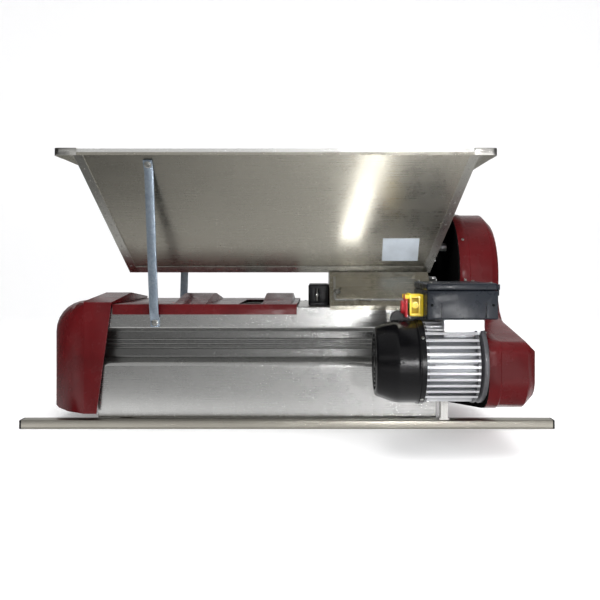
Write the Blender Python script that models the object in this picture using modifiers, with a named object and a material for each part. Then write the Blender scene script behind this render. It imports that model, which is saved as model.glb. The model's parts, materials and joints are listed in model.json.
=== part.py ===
# Grape crusher and destemmer: a steel hopper with a feed auger over two crushing rollers, which drop the
# grapes into a tub with a perforated trough and a paddle shaft. One electric motor drives everything.
# X runs along the rails, Y is depth with the front at negative Y, and Z is up. Sizes are in metres.

import math

import bmesh
import bpy
from mathutils import Matrix, Vector

# Common
GAP = 0.0003  # clearance between pieces that touch
SHEET = 0.0015  # stainless sheet
COVER_SHEET = 0.002  # painted cover sheet
SHAFT_RADIUS = 0.010
SEAT = SHEET + GAP  # how far a piece lies inside a sheet that it seats on

# Frame
RAIL_LENGTH = 1.200
RAIL_WIDTH = 0.030
RAIL_HEIGHT = 0.020
RAIL_WALL = 0.002
RAIL_CORNER = 0.003
RAIL_OUTSET = 0.008  # of a rail's centre from the tub's foot
RAIL_CAP = 0.004
RAIL_PLUG = 0.012
CROSS_MEMBER_WIDTH = 0.030
CROSS_MEMBER_INSET = 0.060  # from each end of the tub

# Tub: the side panels' profile, from the top edge down
TUB_LEFT = -0.430
TUB_RIGHT = 0.338
TUB_HALF_WIDTH = 0.150
TUB_TOP = 0.272
TUB_SHOULDER = 0.225
RECESS_DEPTH = 0.035
RECESS_TOP = 0.217
RECESS_BOTTOM = 0.155
TUB_LOWER_EDGE = 0.146
TUB_EDGE_BEND = ((0.006, 0.002), (0.0015, -0.002), (0.0, -0.007))  # inset and rise, from the recess down
TUB_FOOT_INSET = 0.010  # of the tub's foot from its sides
TUB_FOOT_LIP = 0.014
BEAD_HEIGHTS = (0.196, 0.187, 0.178)
BEAD_SIZE = 0.0035
DECK_FLANGE = 0.014
DRUM_HEIGHT = 0.160  # of the destemmer shaft's axis
OUTLET_INSET = 0.006  # of the stem outlets from the trough
OUTLET_BAR_HALF = 0.024  # of the bar between them
MOUTH_MARGIN = 0.004  # round the rollers

# Perforated trough and paddle shaft
TROUGH_RADIUS = 0.108
TROUGH_RIM = 0.205
PERFORATION_RADIUS = 0.013
PERFORATION_PITCH = 0.052
PERFORATION_SIDES = 8
PERFORATION_ANGLES = (207, 238.5, 270, 301.5, 333)
PADDLE_REACH = 0.098
PADDLE_COUNT = 16
PADDLE_WIDTH = 0.030
PADDLE_THICKNESS = 0.006
PADDLE_MARGIN = 0.060  # of the first and last from the tub's ends
PADDLE_STEP = math.radians(67.5)
PADDLE_TWIST = math.radians(12)
PADDLE_ROOT = 0.004
DESTEMMER_SHAFT_RADIUS = 0.014
SHAFT_END = 0.012  # how far the shaft stands out

# Crusher
CRUSHER_LEFT = 0.096
CRUSHER_RIGHT = 0.330
CRUSHER_INSET = 0.004  # of the crusher's foot from the tub's sides
CRUSHER_TOP_HALF = 0.074
CRUSHER_SKIRT = 0.266
CRUSHER_BEND = 0.346
PANEL_STANDOFF = 0.002  # of the panel's outer face from the crusher's sloped side
PANEL_FLANGE = (0.004, 0.0055)
PANEL_FOOT_RISE = 0.004
ROLLER_HEIGHT = 0.300
ROLLER_SPACING = 0.076  # between the two axes
ROLLER_RADIUS = 0.036
ROLLER_LOBES = 8
ROLLER_LOBE_DEPTH = 0.005
ROLLER_END_GAP = 0.002
GEAR_TEETH = 24
GEAR_FACE = 0.012
GEAR_LEFT = 0.342
GEAR_ROOT = 1.15  # in modules
GEAR_TIP = 0.7
BLOCK_WIDTH = 0.049
BLOCK_HEIGHT = 0.049
BLOCK_HALF_DEPTH = 0.075
BLOCK_EDGE = 0.003
ADJUSTER_OFFSET = -0.004
ADJUSTER_HALF = 0.005
ADJUSTER_REACH = (-0.018, 0.012)  # below and above the rollers' axes
ADJUSTER_DEPTH = 0.012

# Hopper
HOPPER_TOP = 0.615
HOPPER_BOTTOM = 0.350
HOPPER_HALF_DEPTH = 0.250
HOPPER_LEFT = -0.490
HOPPER_RIGHT = 0.450
HOPPER_FOOT_HALF = 0.070
HOPPER_FOOT_LEFT = -0.378
HOPPER_FOOT_RIGHT = 0.336
RIM_OVERHANG = 0.029
RIM_HEIGHT = 0.014
WALL_SPREAD = 0.009  # of the front and rear walls' top under the rim
CORNER_LIP = 0.020
CAP_SHEET = 0.0012
CAP_RADIUS = 0.014
CAP_REACH = 0.050
CAP_TOP_LIP = 0.009
AUGER_HEIGHT = 0.412
AUGER_RADIUS = 0.055
AUGER_CLEARANCE = 0.005
AUGER_PITCH = 0.095
AUGER_TURNS = 5
AUGER_SHEET = 0.003
AUGER_STEPS = 16  # in one turn
AUGER_LEDGE = 0.002
TROUGH_MOUTH_MARGIN = (0.010, 0.014)
RATING_PLATE_CENTRE = (0.262, 0.403)
RATING_PLATE_SIZE = (0.084, 0.0008, 0.060)
STRUT_CENTRE = -0.298
STRUT_WIDTH = 0.020
STRUT_THICKNESS = 0.004
STRUT_STANDOFF = 0.006
STRUT_LAP = 0.024
STRUT_TOP_GAP = 0.004
STRUT_FOOT_GAP = 0.003

# Top cover and stem cover
TOP_COVER_LEFT = -0.395
TOP_COVER_RIGHT = 0.0215
TOP_COVER_TOP = 0.279
TOP_COVER_SKIRT = 0.256
RIDGE_TOP = 0.298
RIDGE_FLAT_HALF = 0.022
RIDGE_INSET = 0.004
RIDGES = ((-0.258, -0.186), (-0.057, 0.008))
SLOT_X = (-0.113, -0.062)
SLOT_Y = (-0.135, 0.060)
STEM_COVER_OUTSET = 0.007  # of the hood's sides from the tub's
STEM_COVER_SHOULDER = 0.284
STEM_COVER_RIDGE = 0.300
STEM_COVER_BOTTOM = 0.033
STEM_COVER_CREASE = -0.457
STEM_COVER_END = -0.557
STEM_COVER_END_HALF = 0.061
STEM_COVER_RADIUS = 0.075
STEM_COVER_STEPS = 7
STEM_COVER_BEND = (0.45, 0.026)  # share of the way to the end, and inset
STEM_COVER_FACET = (0.018, 0.030)
STEM_COVER_SLANT = 0.034

# Motor
MOTOR_Y = -0.340
MOTOR_Z = 0.178
MOTOR_RADIUS = 0.080
MOTOR_LEFT = 0.272
MOTOR_FLANGE = 0.372
MOTOR_SHAFT_RADIUS = 0.012
FIN_PITCH = 0.012
FIN_DEPTH = 0.011
FIN_WIDTH = 0.0045
FIN_ROWS = range(-5, 6)
MOTOR_FLAT_HALF = 0.025
MOTOR_FLAT_INSET = 0.006
FLANGE_EDGE = 0.008
FLANGE_WAIST = 0.8
FAN_COVER_LENGTH = 0.092
FAN_COVER_RING = 0.002  # how far its ring stands out
FAN_COVER_RING_WIDTH = 0.012
FAN_COVER_PROFILE = ((0.0, 0.041), (0.0015, 0.036), (0.013, 0.003), (0.016, 0.0))  # inset, from its left end
FAN_COVER_HOLE = 0.012
FAN_GAP = 0.022
FAN_RADII = (0.022, 0.062)
FAN_BLADES = 7
FAN_WIDTH = 0.020
PLATE_HOLE_MARGIN = 0.004
TERMINAL_SEAT = (0.309, 0.3715)
TERMINAL_SEAT_HALF = 0.045
TERMINAL_SEAT_DEPTH = 0.028  # how far it reaches down into the housing

# Switch box and safety switch
BOX_X = (0.276, 0.411)
BOX_Y = (-0.392, -0.222)
BOX_HEIGHT = 0.069
BOX_STANDOFF = 0.006  # over the motor's top
LID_HEIGHT = 0.014
LID_SHIFT = 0.001
BOX_EDGE = 0.003
LID_EDGE = 0.004
GROOVE_INSETS = (0.026, 0.024)
GROOVE_SIZE = (0.004, 0.004, 0.028)
SWITCH_X = (0.250, 0.2757)
SWITCH_Y = (-0.352, -0.308)
SWITCH_HEIGHT = 0.043
SWITCH_RISE = 0.003  # over the box's floor
FLAP_THICKNESS = 0.004
FLAP_GAP = 0.002
HINGE_PIN_RADIUS = 0.001
HINGE_EAR = 0.0015
HINGE_DROP = 0.004
HINGE_EAR_REACH = (0.0035, 0.0045)  # to the left of and below the pin
KNOB_RADIUS = 0.013
KNOB_HEIGHT = 0.007
BUTTON_RADIUS = 0.008
BUTTON_TRAVEL = 0.003
BUTTON_DROP = 0.004
BUTTON_DEPTH = 0.008
POCKET_DEPTH = 0.012
INLET_RADIUS = 0.013
INLET_WALL = 0.003
INLET_LENGTH = 0.028
INLET_FLOOR = 0.010
INLET_PLACE = (0.028, 0.014)  # from the box's rear, over the switch's floor

# Belt guard and drives
PLATE_X = 0.3875
PLATE_SHEET = 0.003
UPPER_LOBE = (0.0, 0.342, 0.151)
LOWER_LOBE = (0.0, 0.157, 0.127)
NOSE_REACH = 0.403
NOSE_UPPER = (0.200, 0.025)  # corner height and radius
NOSE_LOWER = (0.148, 0.060)
NOSE_TOP_SLOPE = math.radians(9.0)
NECK_RADIUS = 0.045
GUARD_BAND = 0.022
GUARD_JOGGLE = 0.002
GUARD_WALL_RIGHT = 0.464
GUARD_END = 0.483
CRUSHER_CHAIN_X = (0.396, 0.402)
AUGER_CHAIN_X = (0.410, 0.416)
BELT_X = (0.431, 0.444)
BELT_THICKNESS = 0.008
CHAIN_THICKNESS = 0.007
MOTOR_PULLEY_RADIUS = 0.032
DESTEMMER_PULLEY_RADIUS = 0.105
PULLEY_CHEEK = 0.005  # thickness of each cheek beside the belt
PULLEY_RIM = 0.004  # how far the cheeks stand over the pulley's radius
DESTEMMER_SPROCKET_TEETH = 12
ROLLER_SPROCKET_TEETH = 29
AUGER_DRIVER_TEETH = 11
AUGER_SPROCKET_TEETH = 30
CHAIN_PITCH = 0.0125
TOOTH_DEPTH = 0.004
SPROCKET_SHAFT_END = 0.006
SPROCKET_HUB_WALL = 0.006
BEARING_HUB_RADIUS = 0.030
BEARING_HUB_WAIST = 0.8
BEARING_HUB_EDGE = (0.006, 0.008)
GUARD_STEPS = 16
GUARD_SMALLEST = 0.002
LEG_X = (0.344, 0.361)
LEG_TOP = 0.200
LEG_ARM = (0.004, 0.002, 0.020)
LEG_FOOT = (0.003, 0.010, 0.005)

# Worked out from the sizes above
ROLLER_Y = ROLLER_SPACING / 2
RAIL_TOP = RAIL_HEIGHT
TUB_FOOT_HALF_WIDTH = TUB_HALF_WIDTH - TUB_FOOT_INSET
RAIL_CENTRE_Y = TUB_FOOT_HALF_WIDTH + RAIL_OUTSET
CRUSHER_FOOT_HALF = TUB_HALF_WIDTH - CRUSHER_INSET
STEM_COVER_HALF_WIDTH = TUB_HALF_WIDTH + STEM_COVER_OUTSET
BOX_LOW = MOTOR_Z + MOTOR_RADIUS + BOX_STANDOFF
BOX_Z = (BOX_LOW, BOX_LOW + BOX_HEIGHT)
SWITCH_Z = (BOX_LOW + SWITCH_RISE, BOX_LOW + SWITCH_RISE + SWITCH_HEIGHT)
HOPPER_RIM_TOP = HOPPER_TOP - CAP_SHEET - GAP
RIM_HALF = HOPPER_HALF_DEPTH - CAP_SHEET - GAP
RIM_LEFT = HOPPER_LEFT + CAP_SHEET + GAP
RIM_RIGHT = HOPPER_RIGHT - CAP_SHEET - GAP
FRONT_REACH = MOTOR_RADIUS + FAN_COVER_RING - MOTOR_Y
CENTRE_Y = (FRONT_REACH - HOPPER_HALF_DEPTH) / 2  # moves the centre of the box to Y = 0

STAINLESS = ("stainless_steel", (0.62, 0.61, 0.58), 0.35, 1.0)
GALVANISED = ("galvanised_steel", (0.50, 0.55, 0.60), 0.45, 1.0)
RED_PAINT = ("red_painted_steel", (0.16, 0.018, 0.022), 0.4, 0.0)
BLACK_PLASTIC = ("black_plastic", (0.02, 0.02, 0.02), 0.4, 0.0)
BLACK_PAINT = ("black_painted_steel", (0.015, 0.015, 0.015), 0.5, 0.0)
ALUMINIUM = ("cast_aluminium", (0.75, 0.75, 0.76), 0.4, 1.0)
YELLOW_PLASTIC = ("yellow_plastic", (0.80, 0.62, 0.05), 0.4, 0.0)
RED_PLASTIC = ("red_plastic", (0.45, 0.02, 0.03), 0.4, 0.0)
GREEN_PLASTIC = ("green_plastic", (0.03, 0.30, 0.08), 0.4, 0.0)
RUBBER = ("black_rubber", (0.012, 0.012, 0.012), 0.8, 0.0)
STEEL = ("machined_steel", (0.40, 0.40, 0.41), 0.4, 1.0)
LABEL = ("blank_label", (0.45, 0.50, 0.56), 0.5, 0.3)

# Local X, Y and Z of a flat outline go to these world axes, by the axis that it is extruded along
OUTLINE_TURN = {
    "X": Matrix(((0, 0, 1), (1, 0, 0), (0, 1, 0))),
    "Y": Matrix(((1, 0, 0), (0, 0, -1), (0, 1, 0))),
    "Z": Matrix.Identity(3),
}

for old in list(bpy.data.objects):
    bpy.data.objects.remove(old)

parts = bpy.data.collections.new("grape_crusher_destemmer")
cutters = bpy.data.collections.new("cutters")
for group in (parts, cutters):
    bpy.context.scene.collection.children.link(group)

machine = bpy.data.objects.new("machine", None)
machine.location = (0, CENTRE_Y, 0)
parts.objects.link(machine)


def material_of(finish):
    name, colour, roughness, metallic = finish
    if name in bpy.data.materials:
        return bpy.data.materials[name]
    material = bpy.data.materials.new(name)
    material.use_nodes = True
    shader = material.node_tree.nodes["Principled BSDF"]
    shader.inputs["Base Color"].default_value = (*colour, 1)
    shader.inputs["Roughness"].default_value = roughness
    shader.inputs["Metallic"].default_value = metallic
    return material


def place(name, mesh, finish, location=(0, 0, 0), rotation=None):
    """An object of this mesh in the parts collection, or a hidden helper when it has no finish."""
    piece = bpy.data.objects.new(name, mesh)
    piece.parent = machine
    piece.location = location
    if rotation is not None:
        piece.rotation_euler = rotation.to_euler()
    if finish is None:
        cutters.objects.link(piece)
        piece.hide_render = True
        piece.display_type = "WIRE"
    else:
        parts.objects.link(piece)
        mesh.materials.append(material_of(finish))
    return piece


def box(name, low, high, finish, bevel=0.0):
    low, high = Vector(low), Vector(high)
    cube = bmesh.new()
    bmesh.ops.create_cube(cube, size=1)
    bmesh.ops.scale(cube, vec=high - low, verts=cube.verts)
    mesh = bpy.data.meshes.new(name)
    cube.to_mesh(mesh)
    cube.free()
    piece = place(name, mesh, finish, (low + high) / 2)
    if bevel:
        edge = piece.modifiers.new("Rounded edges", "BEVEL")
        edge.width = bevel
        edge.segments = 2
    return piece


def smooth(mesh, degrees=35):
    mesh.shade_smooth()
    mesh.set_sharp_from_angle(angle=math.radians(degrees))


def cylinder(name, radius, left, right, centre, finish, segments=24, far_radius=None):
    """A cylinder or cone along X, from left to right, about a (y, z) centre."""
    shape = bmesh.new()
    bmesh.ops.create_cone(
        shape,
        cap_ends=True,
        segments=segments,
        radius1=radius,
        radius2=radius if far_radius is None else far_radius,
        depth=right - left,
    )
    mesh = bpy.data.meshes.new(name)
    shape.to_mesh(mesh)
    shape.free()
    smooth(mesh)
    turn = Matrix.Rotation(math.pi / 2, 3, "Y")
    return place(name, mesh, finish, ((left + right) / 2, *centre), turn)


def turned(name, profile, centre, finish, steps=32, closed=False):
    """Turns a profile of (radius, x) points about the X axis through a (y, z) centre. The points run from
    right to left along the outer side."""
    mesh = bpy.data.meshes.new(name)
    points = [(radius, 0, along) for radius, along in profile]
    edges = [(i, i + 1) for i in range(len(points) - 1)]
    if closed:
        edges.append((len(points) - 1, 0))
    mesh.from_pydata(points, edges, [])
    piece = place(name, mesh, finish, (0, *centre), Matrix.Rotation(math.pi / 2, 3, "Y"))
    screw = piece.modifiers.new("Turn", "SCREW")
    screw.steps = steps
    screw.render_steps = steps
    screw.use_merge_vertices = True
    screw.merge_threshold = 0.00001
    return piece


def thicken(piece, thickness):
    wall = piece.modifiers.new("Sheet", "SOLIDIFY")
    wall.thickness = thickness
    wall.offset = -1
    wall.use_even_offset = True
    wall.use_quality_normals = True
    return piece


def shell(name, rows, thickness, finish, flip=False):
    """Sheet whose outer side is the grid of points in rows, thickened inwards."""
    width = len(rows[0])
    points = [point for row in rows for point in row]
    faces = [
        [r * width + c, r * width + c + 1, (r + 1) * width + c + 1, (r + 1) * width + c]
        for r in range(len(rows) - 1)
        for c in range(width - 1)
    ]
    if flip:
        faces = [face[::-1] for face in faces]
    mesh = bpy.data.meshes.new(name)
    mesh.from_pydata(points, [], faces)
    return thicken(place(name, mesh, finish), thickness)


def as_mesh(outline, name, finish):
    """The curve object as a closed mesh object in its place."""
    bpy.context.view_layer.update()
    graph = bpy.context.evaluated_depsgraph_get()
    mesh = bpy.data.meshes.new_from_object(outline.evaluated_get(graph))
    location, rotation = outline.location.copy(), outline.rotation_euler.to_matrix()
    bpy.data.objects.remove(outline)
    shape = bmesh.new()
    shape.from_mesh(mesh)
    bmesh.ops.remove_doubles(shape, verts=shape.verts, dist=0.000001)
    shape.to_mesh(mesh)
    shape.free()
    mesh.name = name
    mesh.materials.clear()
    return place(name, mesh, finish, location, rotation)


def prism(name, loops, start, end, axis, finish):
    """A flat outline extruded along an axis. The first loop is the outside and the others are holes."""
    curve = bpy.data.curves.new(name, "CURVE")
    curve.dimensions = "2D"
    curve.fill_mode = "BOTH"
    curve.extrude = (end - start) / 2
    for loop in loops:
        spline = curve.splines.new("POLY")
        spline.points.add(len(loop) - 1)
        for point, (across, up) in zip(spline.points, loop):
            point.co = (across, up, 0, 1)
        spline.use_cyclic_u = True
    outline = bpy.data.objects.new(name + "_outline", curve)
    parts.objects.link(outline)
    outline.parent = machine
    middle = (start + end) / 2
    outline.location = {"X": (middle, 0, 0), "Y": (0, middle, 0), "Z": (0, 0, middle)}[axis]
    outline.rotation_euler = OUTLINE_TURN[axis].to_euler()
    return as_mesh(outline, name, finish)


def cut(piece, cutter, operation="DIFFERENCE", solver="EXACT"):
    change = piece.modifiers.new(cutter.name, "BOOLEAN")
    change.operation = operation
    change.object = cutter
    change.solver = solver
    return piece


def join(piece, helper, solver="EXACT"):
    return cut(piece, helper, "UNION", solver)


def arc(centre, radius, start, end, count):
    """Points on an arc from start to end, in degrees."""
    turns = [math.radians(start + (end - start) * i / count) for i in range(count + 1)]
    return [(centre[0] + radius * math.cos(t), centre[1] + radius * math.sin(t)) for t in turns]


def circle(centre, radius, count=16):
    return arc(centre, radius, 0, 360, count)[:-1]


def rounded_rectangle(centre, width, height, radius, count=3):
    across, up = width / 2 - radius, height / 2 - radius
    corners = ((across, up, 0), (-across, up, 90), (-across, -up, 180), (across, -up, 270))
    return [
        point
        for x, z, start in corners
        for point in arc((centre[0] + x, centre[1] + z), radius, start, start + 90, count)
    ]


def offset_path(path, distance):
    """The path moved to its left by a distance, with mitred corners."""
    moved = []
    for i, (x, y) in enumerate(path):
        before = Vector(path[max(i - 1, 0)])
        after = Vector(path[min(i + 1, len(path) - 1)])
        here = Vector((x, y))
        ways = [way.normalized() for way in (here - before, after - here) if way.length > 0]
        normals = [Vector((-way.y, way.x)) for way in ways]
        mitre = sum(normals, Vector((0, 0))).normalized()
        moved.append(tuple(here + mitre * distance / mitre.dot(normals[0])))
    return moved


def loop_round(first, second, grow, count=16):
    """The closed belt line round two (y, z, radius) circles, each grown by the same amount. The corners
    stand out far enough that the flats between them clear the circle."""
    reach = Vector(second[:2]) - Vector(first[:2])
    heading = math.degrees(math.atan2(reach.y, reach.x))
    spread = math.degrees(math.acos((first[2] - second[2]) / reach.length))
    far = (second[2] + grow) / math.cos(math.radians(spread / count))
    near = (first[2] + grow) / math.cos(math.radians((180 - spread) / count))
    return arc(second[:2], far, heading - spread, heading + spread, count) + arc(
        first[:2], near, heading + spread, heading + 360 - spread, count
    )


def pointed(centre, root, tip, teeth):
    """An outline with one sharp point for each tooth."""
    turns = [math.pi * i / teeth for i in range(2 * teeth)]
    radii = [tip if i % 2 == 0 else root for i in range(2 * teeth)]
    return [(centre[0] + r * math.cos(t), centre[1] + r * math.sin(t)) for r, t in zip(radii, turns)]


def toothed(centre, root, tip, teeth, phase=0.0, root_share=0.30, tip_share=0.14):
    """An outline with straight-sided teeth: the shares are half a tooth's width over the pitch."""
    pitch = 2 * math.pi / teeth
    points = []
    for i in range(teeth):
        middle = (i + phase) * pitch
        for radius, share in ((root, -root_share), (tip, -tip_share), (tip, tip_share), (root, root_share)):
            turn = middle + share * pitch
            points.append((centre[0] + radius * math.cos(turn), centre[1] + radius * math.sin(turn)))
    return points


def build_frame():
    inner_height = RAIL_HEIGHT - 2 * RAIL_WALL
    inner_width = RAIL_WIDTH - 2 * RAIL_WALL
    inner_corner = RAIL_CORNER - RAIL_WALL / 2
    end = RAIL_LENGTH / 2
    for side, y in (("front", -RAIL_CENTRE_Y), ("rear", RAIL_CENTRE_Y)):
        centre = (y, RAIL_HEIGHT / 2)
        outside = rounded_rectangle(centre, RAIL_WIDTH, RAIL_HEIGHT, RAIL_CORNER)
        inside = rounded_rectangle(centre, inner_width, inner_height, inner_corner, 2)
        prism(f"rail_{side}", [outside, inside], -end + RAIL_CAP + GAP, end - RAIL_CAP - GAP, "X", STAINLESS)
        for hand, sign in (("left", -1), ("right", 1)):
            name = f"rail_cap_{side}_{hand}"
            span = sorted((sign * end, sign * (end - RAIL_CAP)))
            cap = prism(name, [outside], *span, "X", BLACK_PLASTIC)
            plug_span = sorted((sign * (end - RAIL_CAP / 2), sign * (end - RAIL_CAP - RAIL_PLUG)))
            plug = rounded_rectangle(centre, inner_width - 2 * GAP, inner_height - 2 * GAP, inner_corner, 2)
            join(cap, prism(f"{name}_plug", [plug], *plug_span, "X", None))
    reach = RAIL_CENTRE_Y - RAIL_WIDTH / 2 - GAP
    for hand, x in (("left", TUB_LEFT + CROSS_MEMBER_INSET), ("right", TUB_RIGHT - CROSS_MEMBER_INSET)):
        outside = rounded_rectangle((x, RAIL_HEIGHT / 2), CROSS_MEMBER_WIDTH, RAIL_HEIGHT, RAIL_CORNER)
        inner_span = CROSS_MEMBER_WIDTH - 2 * RAIL_WALL
        inside = rounded_rectangle((x, RAIL_HEIGHT / 2), inner_span, inner_height, inner_corner, 2)
        prism(f"cross_member_{hand}", [outside, inside], -reach, reach, "Y", STAINLESS)


def tub_profile(beads=True):
    """Half of the tub's outer section, as (distance from the middle, height) from the top edge down."""
    back = TUB_HALF_WIDTH - RECESS_DEPTH
    path = [(TUB_HALF_WIDTH, TUB_TOP), (TUB_HALF_WIDTH, TUB_SHOULDER), (back, RECESS_TOP)]
    for height in BEAD_HEIGHTS if beads else ():
        half = BEAD_SIZE * 1.1
        path += [(back, height + half), (back + BEAD_SIZE, height), (back, height - half)]
    path += [
        (back, RECESS_BOTTOM),
        *((TUB_HALF_WIDTH - inset, TUB_LOWER_EDGE + rise) for inset, rise in TUB_EDGE_BEND),
        (TUB_FOOT_HALF_WIDTH, RAIL_TOP + GAP),
        (TUB_FOOT_HALF_WIDTH - TUB_FOOT_LIP, RAIL_TOP + GAP),
    ]
    return path


def tub_inside():
    """The section that an end plate fills, clear of the side panels."""
    half = offset_path(tub_profile(beads=False), -SEAT)
    right = [(y, z) for y, z in half[:-1]]
    foot = RAIL_TOP + GAP + 2 * SEAT
    right[0] = (right[0][0], TUB_TOP - SHEET)
    right[-1] = (right[-1][0] - GAP, foot)
    return right + [(-y, z) for y, z in reversed(right)]


def build_tub():
    for side, sign in (("front", -1), ("rear", 1)):
        rows = [[(TUB_LEFT, sign * y, z), (TUB_RIGHT, sign * y, z)] for y, z in tub_profile()]
        shell(f"tub_{side}_panel", rows, SHEET, STAINLESS, flip=sign < 0)
    inside = tub_inside()
    middle = (0, DRUM_HEIGHT)
    outlet = TROUGH_RADIUS - OUTLET_INSET
    side_angle = math.degrees(math.asin(OUTLET_BAR_HALF / outlet))
    upper = arc(middle, outlet, side_angle, 180 - side_angle, 14)
    lower = arc(middle, outlet, 180 + side_angle, 360 - side_angle, 14)
    shaft_hole = circle(middle, DESTEMMER_SHAFT_RADIUS + GAP)
    prism("tub_left_plate", [inside, upper, lower, shaft_hole], TUB_LEFT, TUB_LEFT + SHEET, "X", STAINLESS)
    prism("tub_right_plate", [inside, shaft_hole], TUB_RIGHT - SHEET, TUB_RIGHT, "X", STAINLESS)

    deck_half = TUB_HALF_WIDTH - SEAT
    deck_left, deck_right = TUB_LEFT + SEAT, TUB_RIGHT - SEAT
    path = [(-deck_half, TUB_TOP - DECK_FLANGE), (-deck_half, TUB_TOP), (deck_half, TUB_TOP)]
    path.append((deck_half, TUB_TOP - DECK_FLANGE))
    rows = [[(deck_left, y, z), (deck_right, y, z)] for y, z in path]
    deck = shell("tub_deck", rows, SHEET, STAINLESS)
    mouth_half = ROLLER_Y + ROLLER_RADIUS + MOUTH_MARGIN
    over, under = TUB_TOP + 0.01, TUB_TOP - DECK_FLANGE / 2
    mouth_low = (CRUSHER_LEFT + 2 * SEAT, -mouth_half, under)
    cut(deck, box("deck_mouth", mouth_low, (CRUSHER_RIGHT - 2 * SEAT, mouth_half, over), None))
    cut(deck, box("deck_slot", (SLOT_X[0], SLOT_Y[0], under), (SLOT_X[1], SLOT_Y[1], over), None))


def build_trough():
    """The perforated trough round the paddles: a half pipe with straight sides and turned-out rims."""
    left, right = TUB_LEFT + SEAT, TUB_RIGHT - SEAT
    rim_half = TUB_HALF_WIDTH - RECESS_DEPTH - SEAT
    path = [(-rim_half, TROUGH_RIM), (-TROUGH_RADIUS, TROUGH_RIM)]
    path += arc((0, DRUM_HEIGHT), TROUGH_RADIUS, 180, 360, 16)
    path += [(TROUGH_RADIUS, TROUGH_RIM), (rim_half, TROUGH_RIM)]
    rows = [[(left, y, z), (right, y, z)] for y, z in path]
    trough = shell("destemming_trough", rows, SHEET, STAINLESS, flip=True)
    holes = bmesh.new()
    count = int((right - left - 2 * PERFORATION_PITCH) / PERFORATION_PITCH) + 1
    first = (left + right - (count - 1) * PERFORATION_PITCH) / 2
    for k, angle in enumerate(PERFORATION_ANGLES):
        for i in range(count - k % 2):
            x = first + (i + 0.5 * (k % 2)) * PERFORATION_PITCH
            turn = math.radians(angle)
            out = Vector((0, math.cos(turn), math.sin(turn)))
            spot = Vector((x, 0, DRUM_HEIGHT)) + out * TROUGH_RADIUS
            facing = out.to_track_quat("Z", "X").to_matrix().to_4x4()
            bmesh.ops.create_cone(
                holes,
                cap_ends=True,
                segments=PERFORATION_SIDES,
                radius1=PERFORATION_RADIUS,
                radius2=PERFORATION_RADIUS,
                depth=0.02,
                matrix=Matrix.Translation(spot) @ facing,
            )
    mesh = bpy.data.meshes.new("perforations")
    holes.to_mesh(mesh)
    holes.free()
    cut(trough, place("perforations", mesh, None))


def build_paddle_shaft():
    middle = (0, DRUM_HEIGHT)
    left, right = TUB_LEFT - SHAFT_END, BELT_X[1] + SHAFT_END
    shaft = cylinder("destemmer_shaft", DESTEMMER_SHAFT_RADIUS, left, right, middle, STEEL, 20)
    first, last = TUB_LEFT + PADDLE_MARGIN, TUB_RIGHT - PADDLE_MARGIN
    for i in range(PADDLE_COUNT):
        x = first + (last - first) * i / (PADDLE_COUNT - 1)
        blade = bmesh.new()
        bmesh.ops.create_cube(blade, size=1)
        length, middle_z = PADDLE_REACH - PADDLE_ROOT, (PADDLE_REACH + PADDLE_ROOT) / 2
        bmesh.ops.scale(blade, vec=(PADDLE_WIDTH, PADDLE_THICKNESS, length), verts=blade.verts)
        bmesh.ops.translate(blade, vec=(0, 0, middle_z), verts=blade.verts)
        mesh = bpy.data.meshes.new(f"paddle_{i}")
        blade.to_mesh(mesh)
        blade.free()
        turn = Matrix.Rotation(PADDLE_STEP * i, 3, "X") @ Matrix.Rotation(PADDLE_TWIST, 3, "Z")
        join(shaft, place(f"paddle_{i}", mesh, None, (x, *middle), turn))


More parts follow.
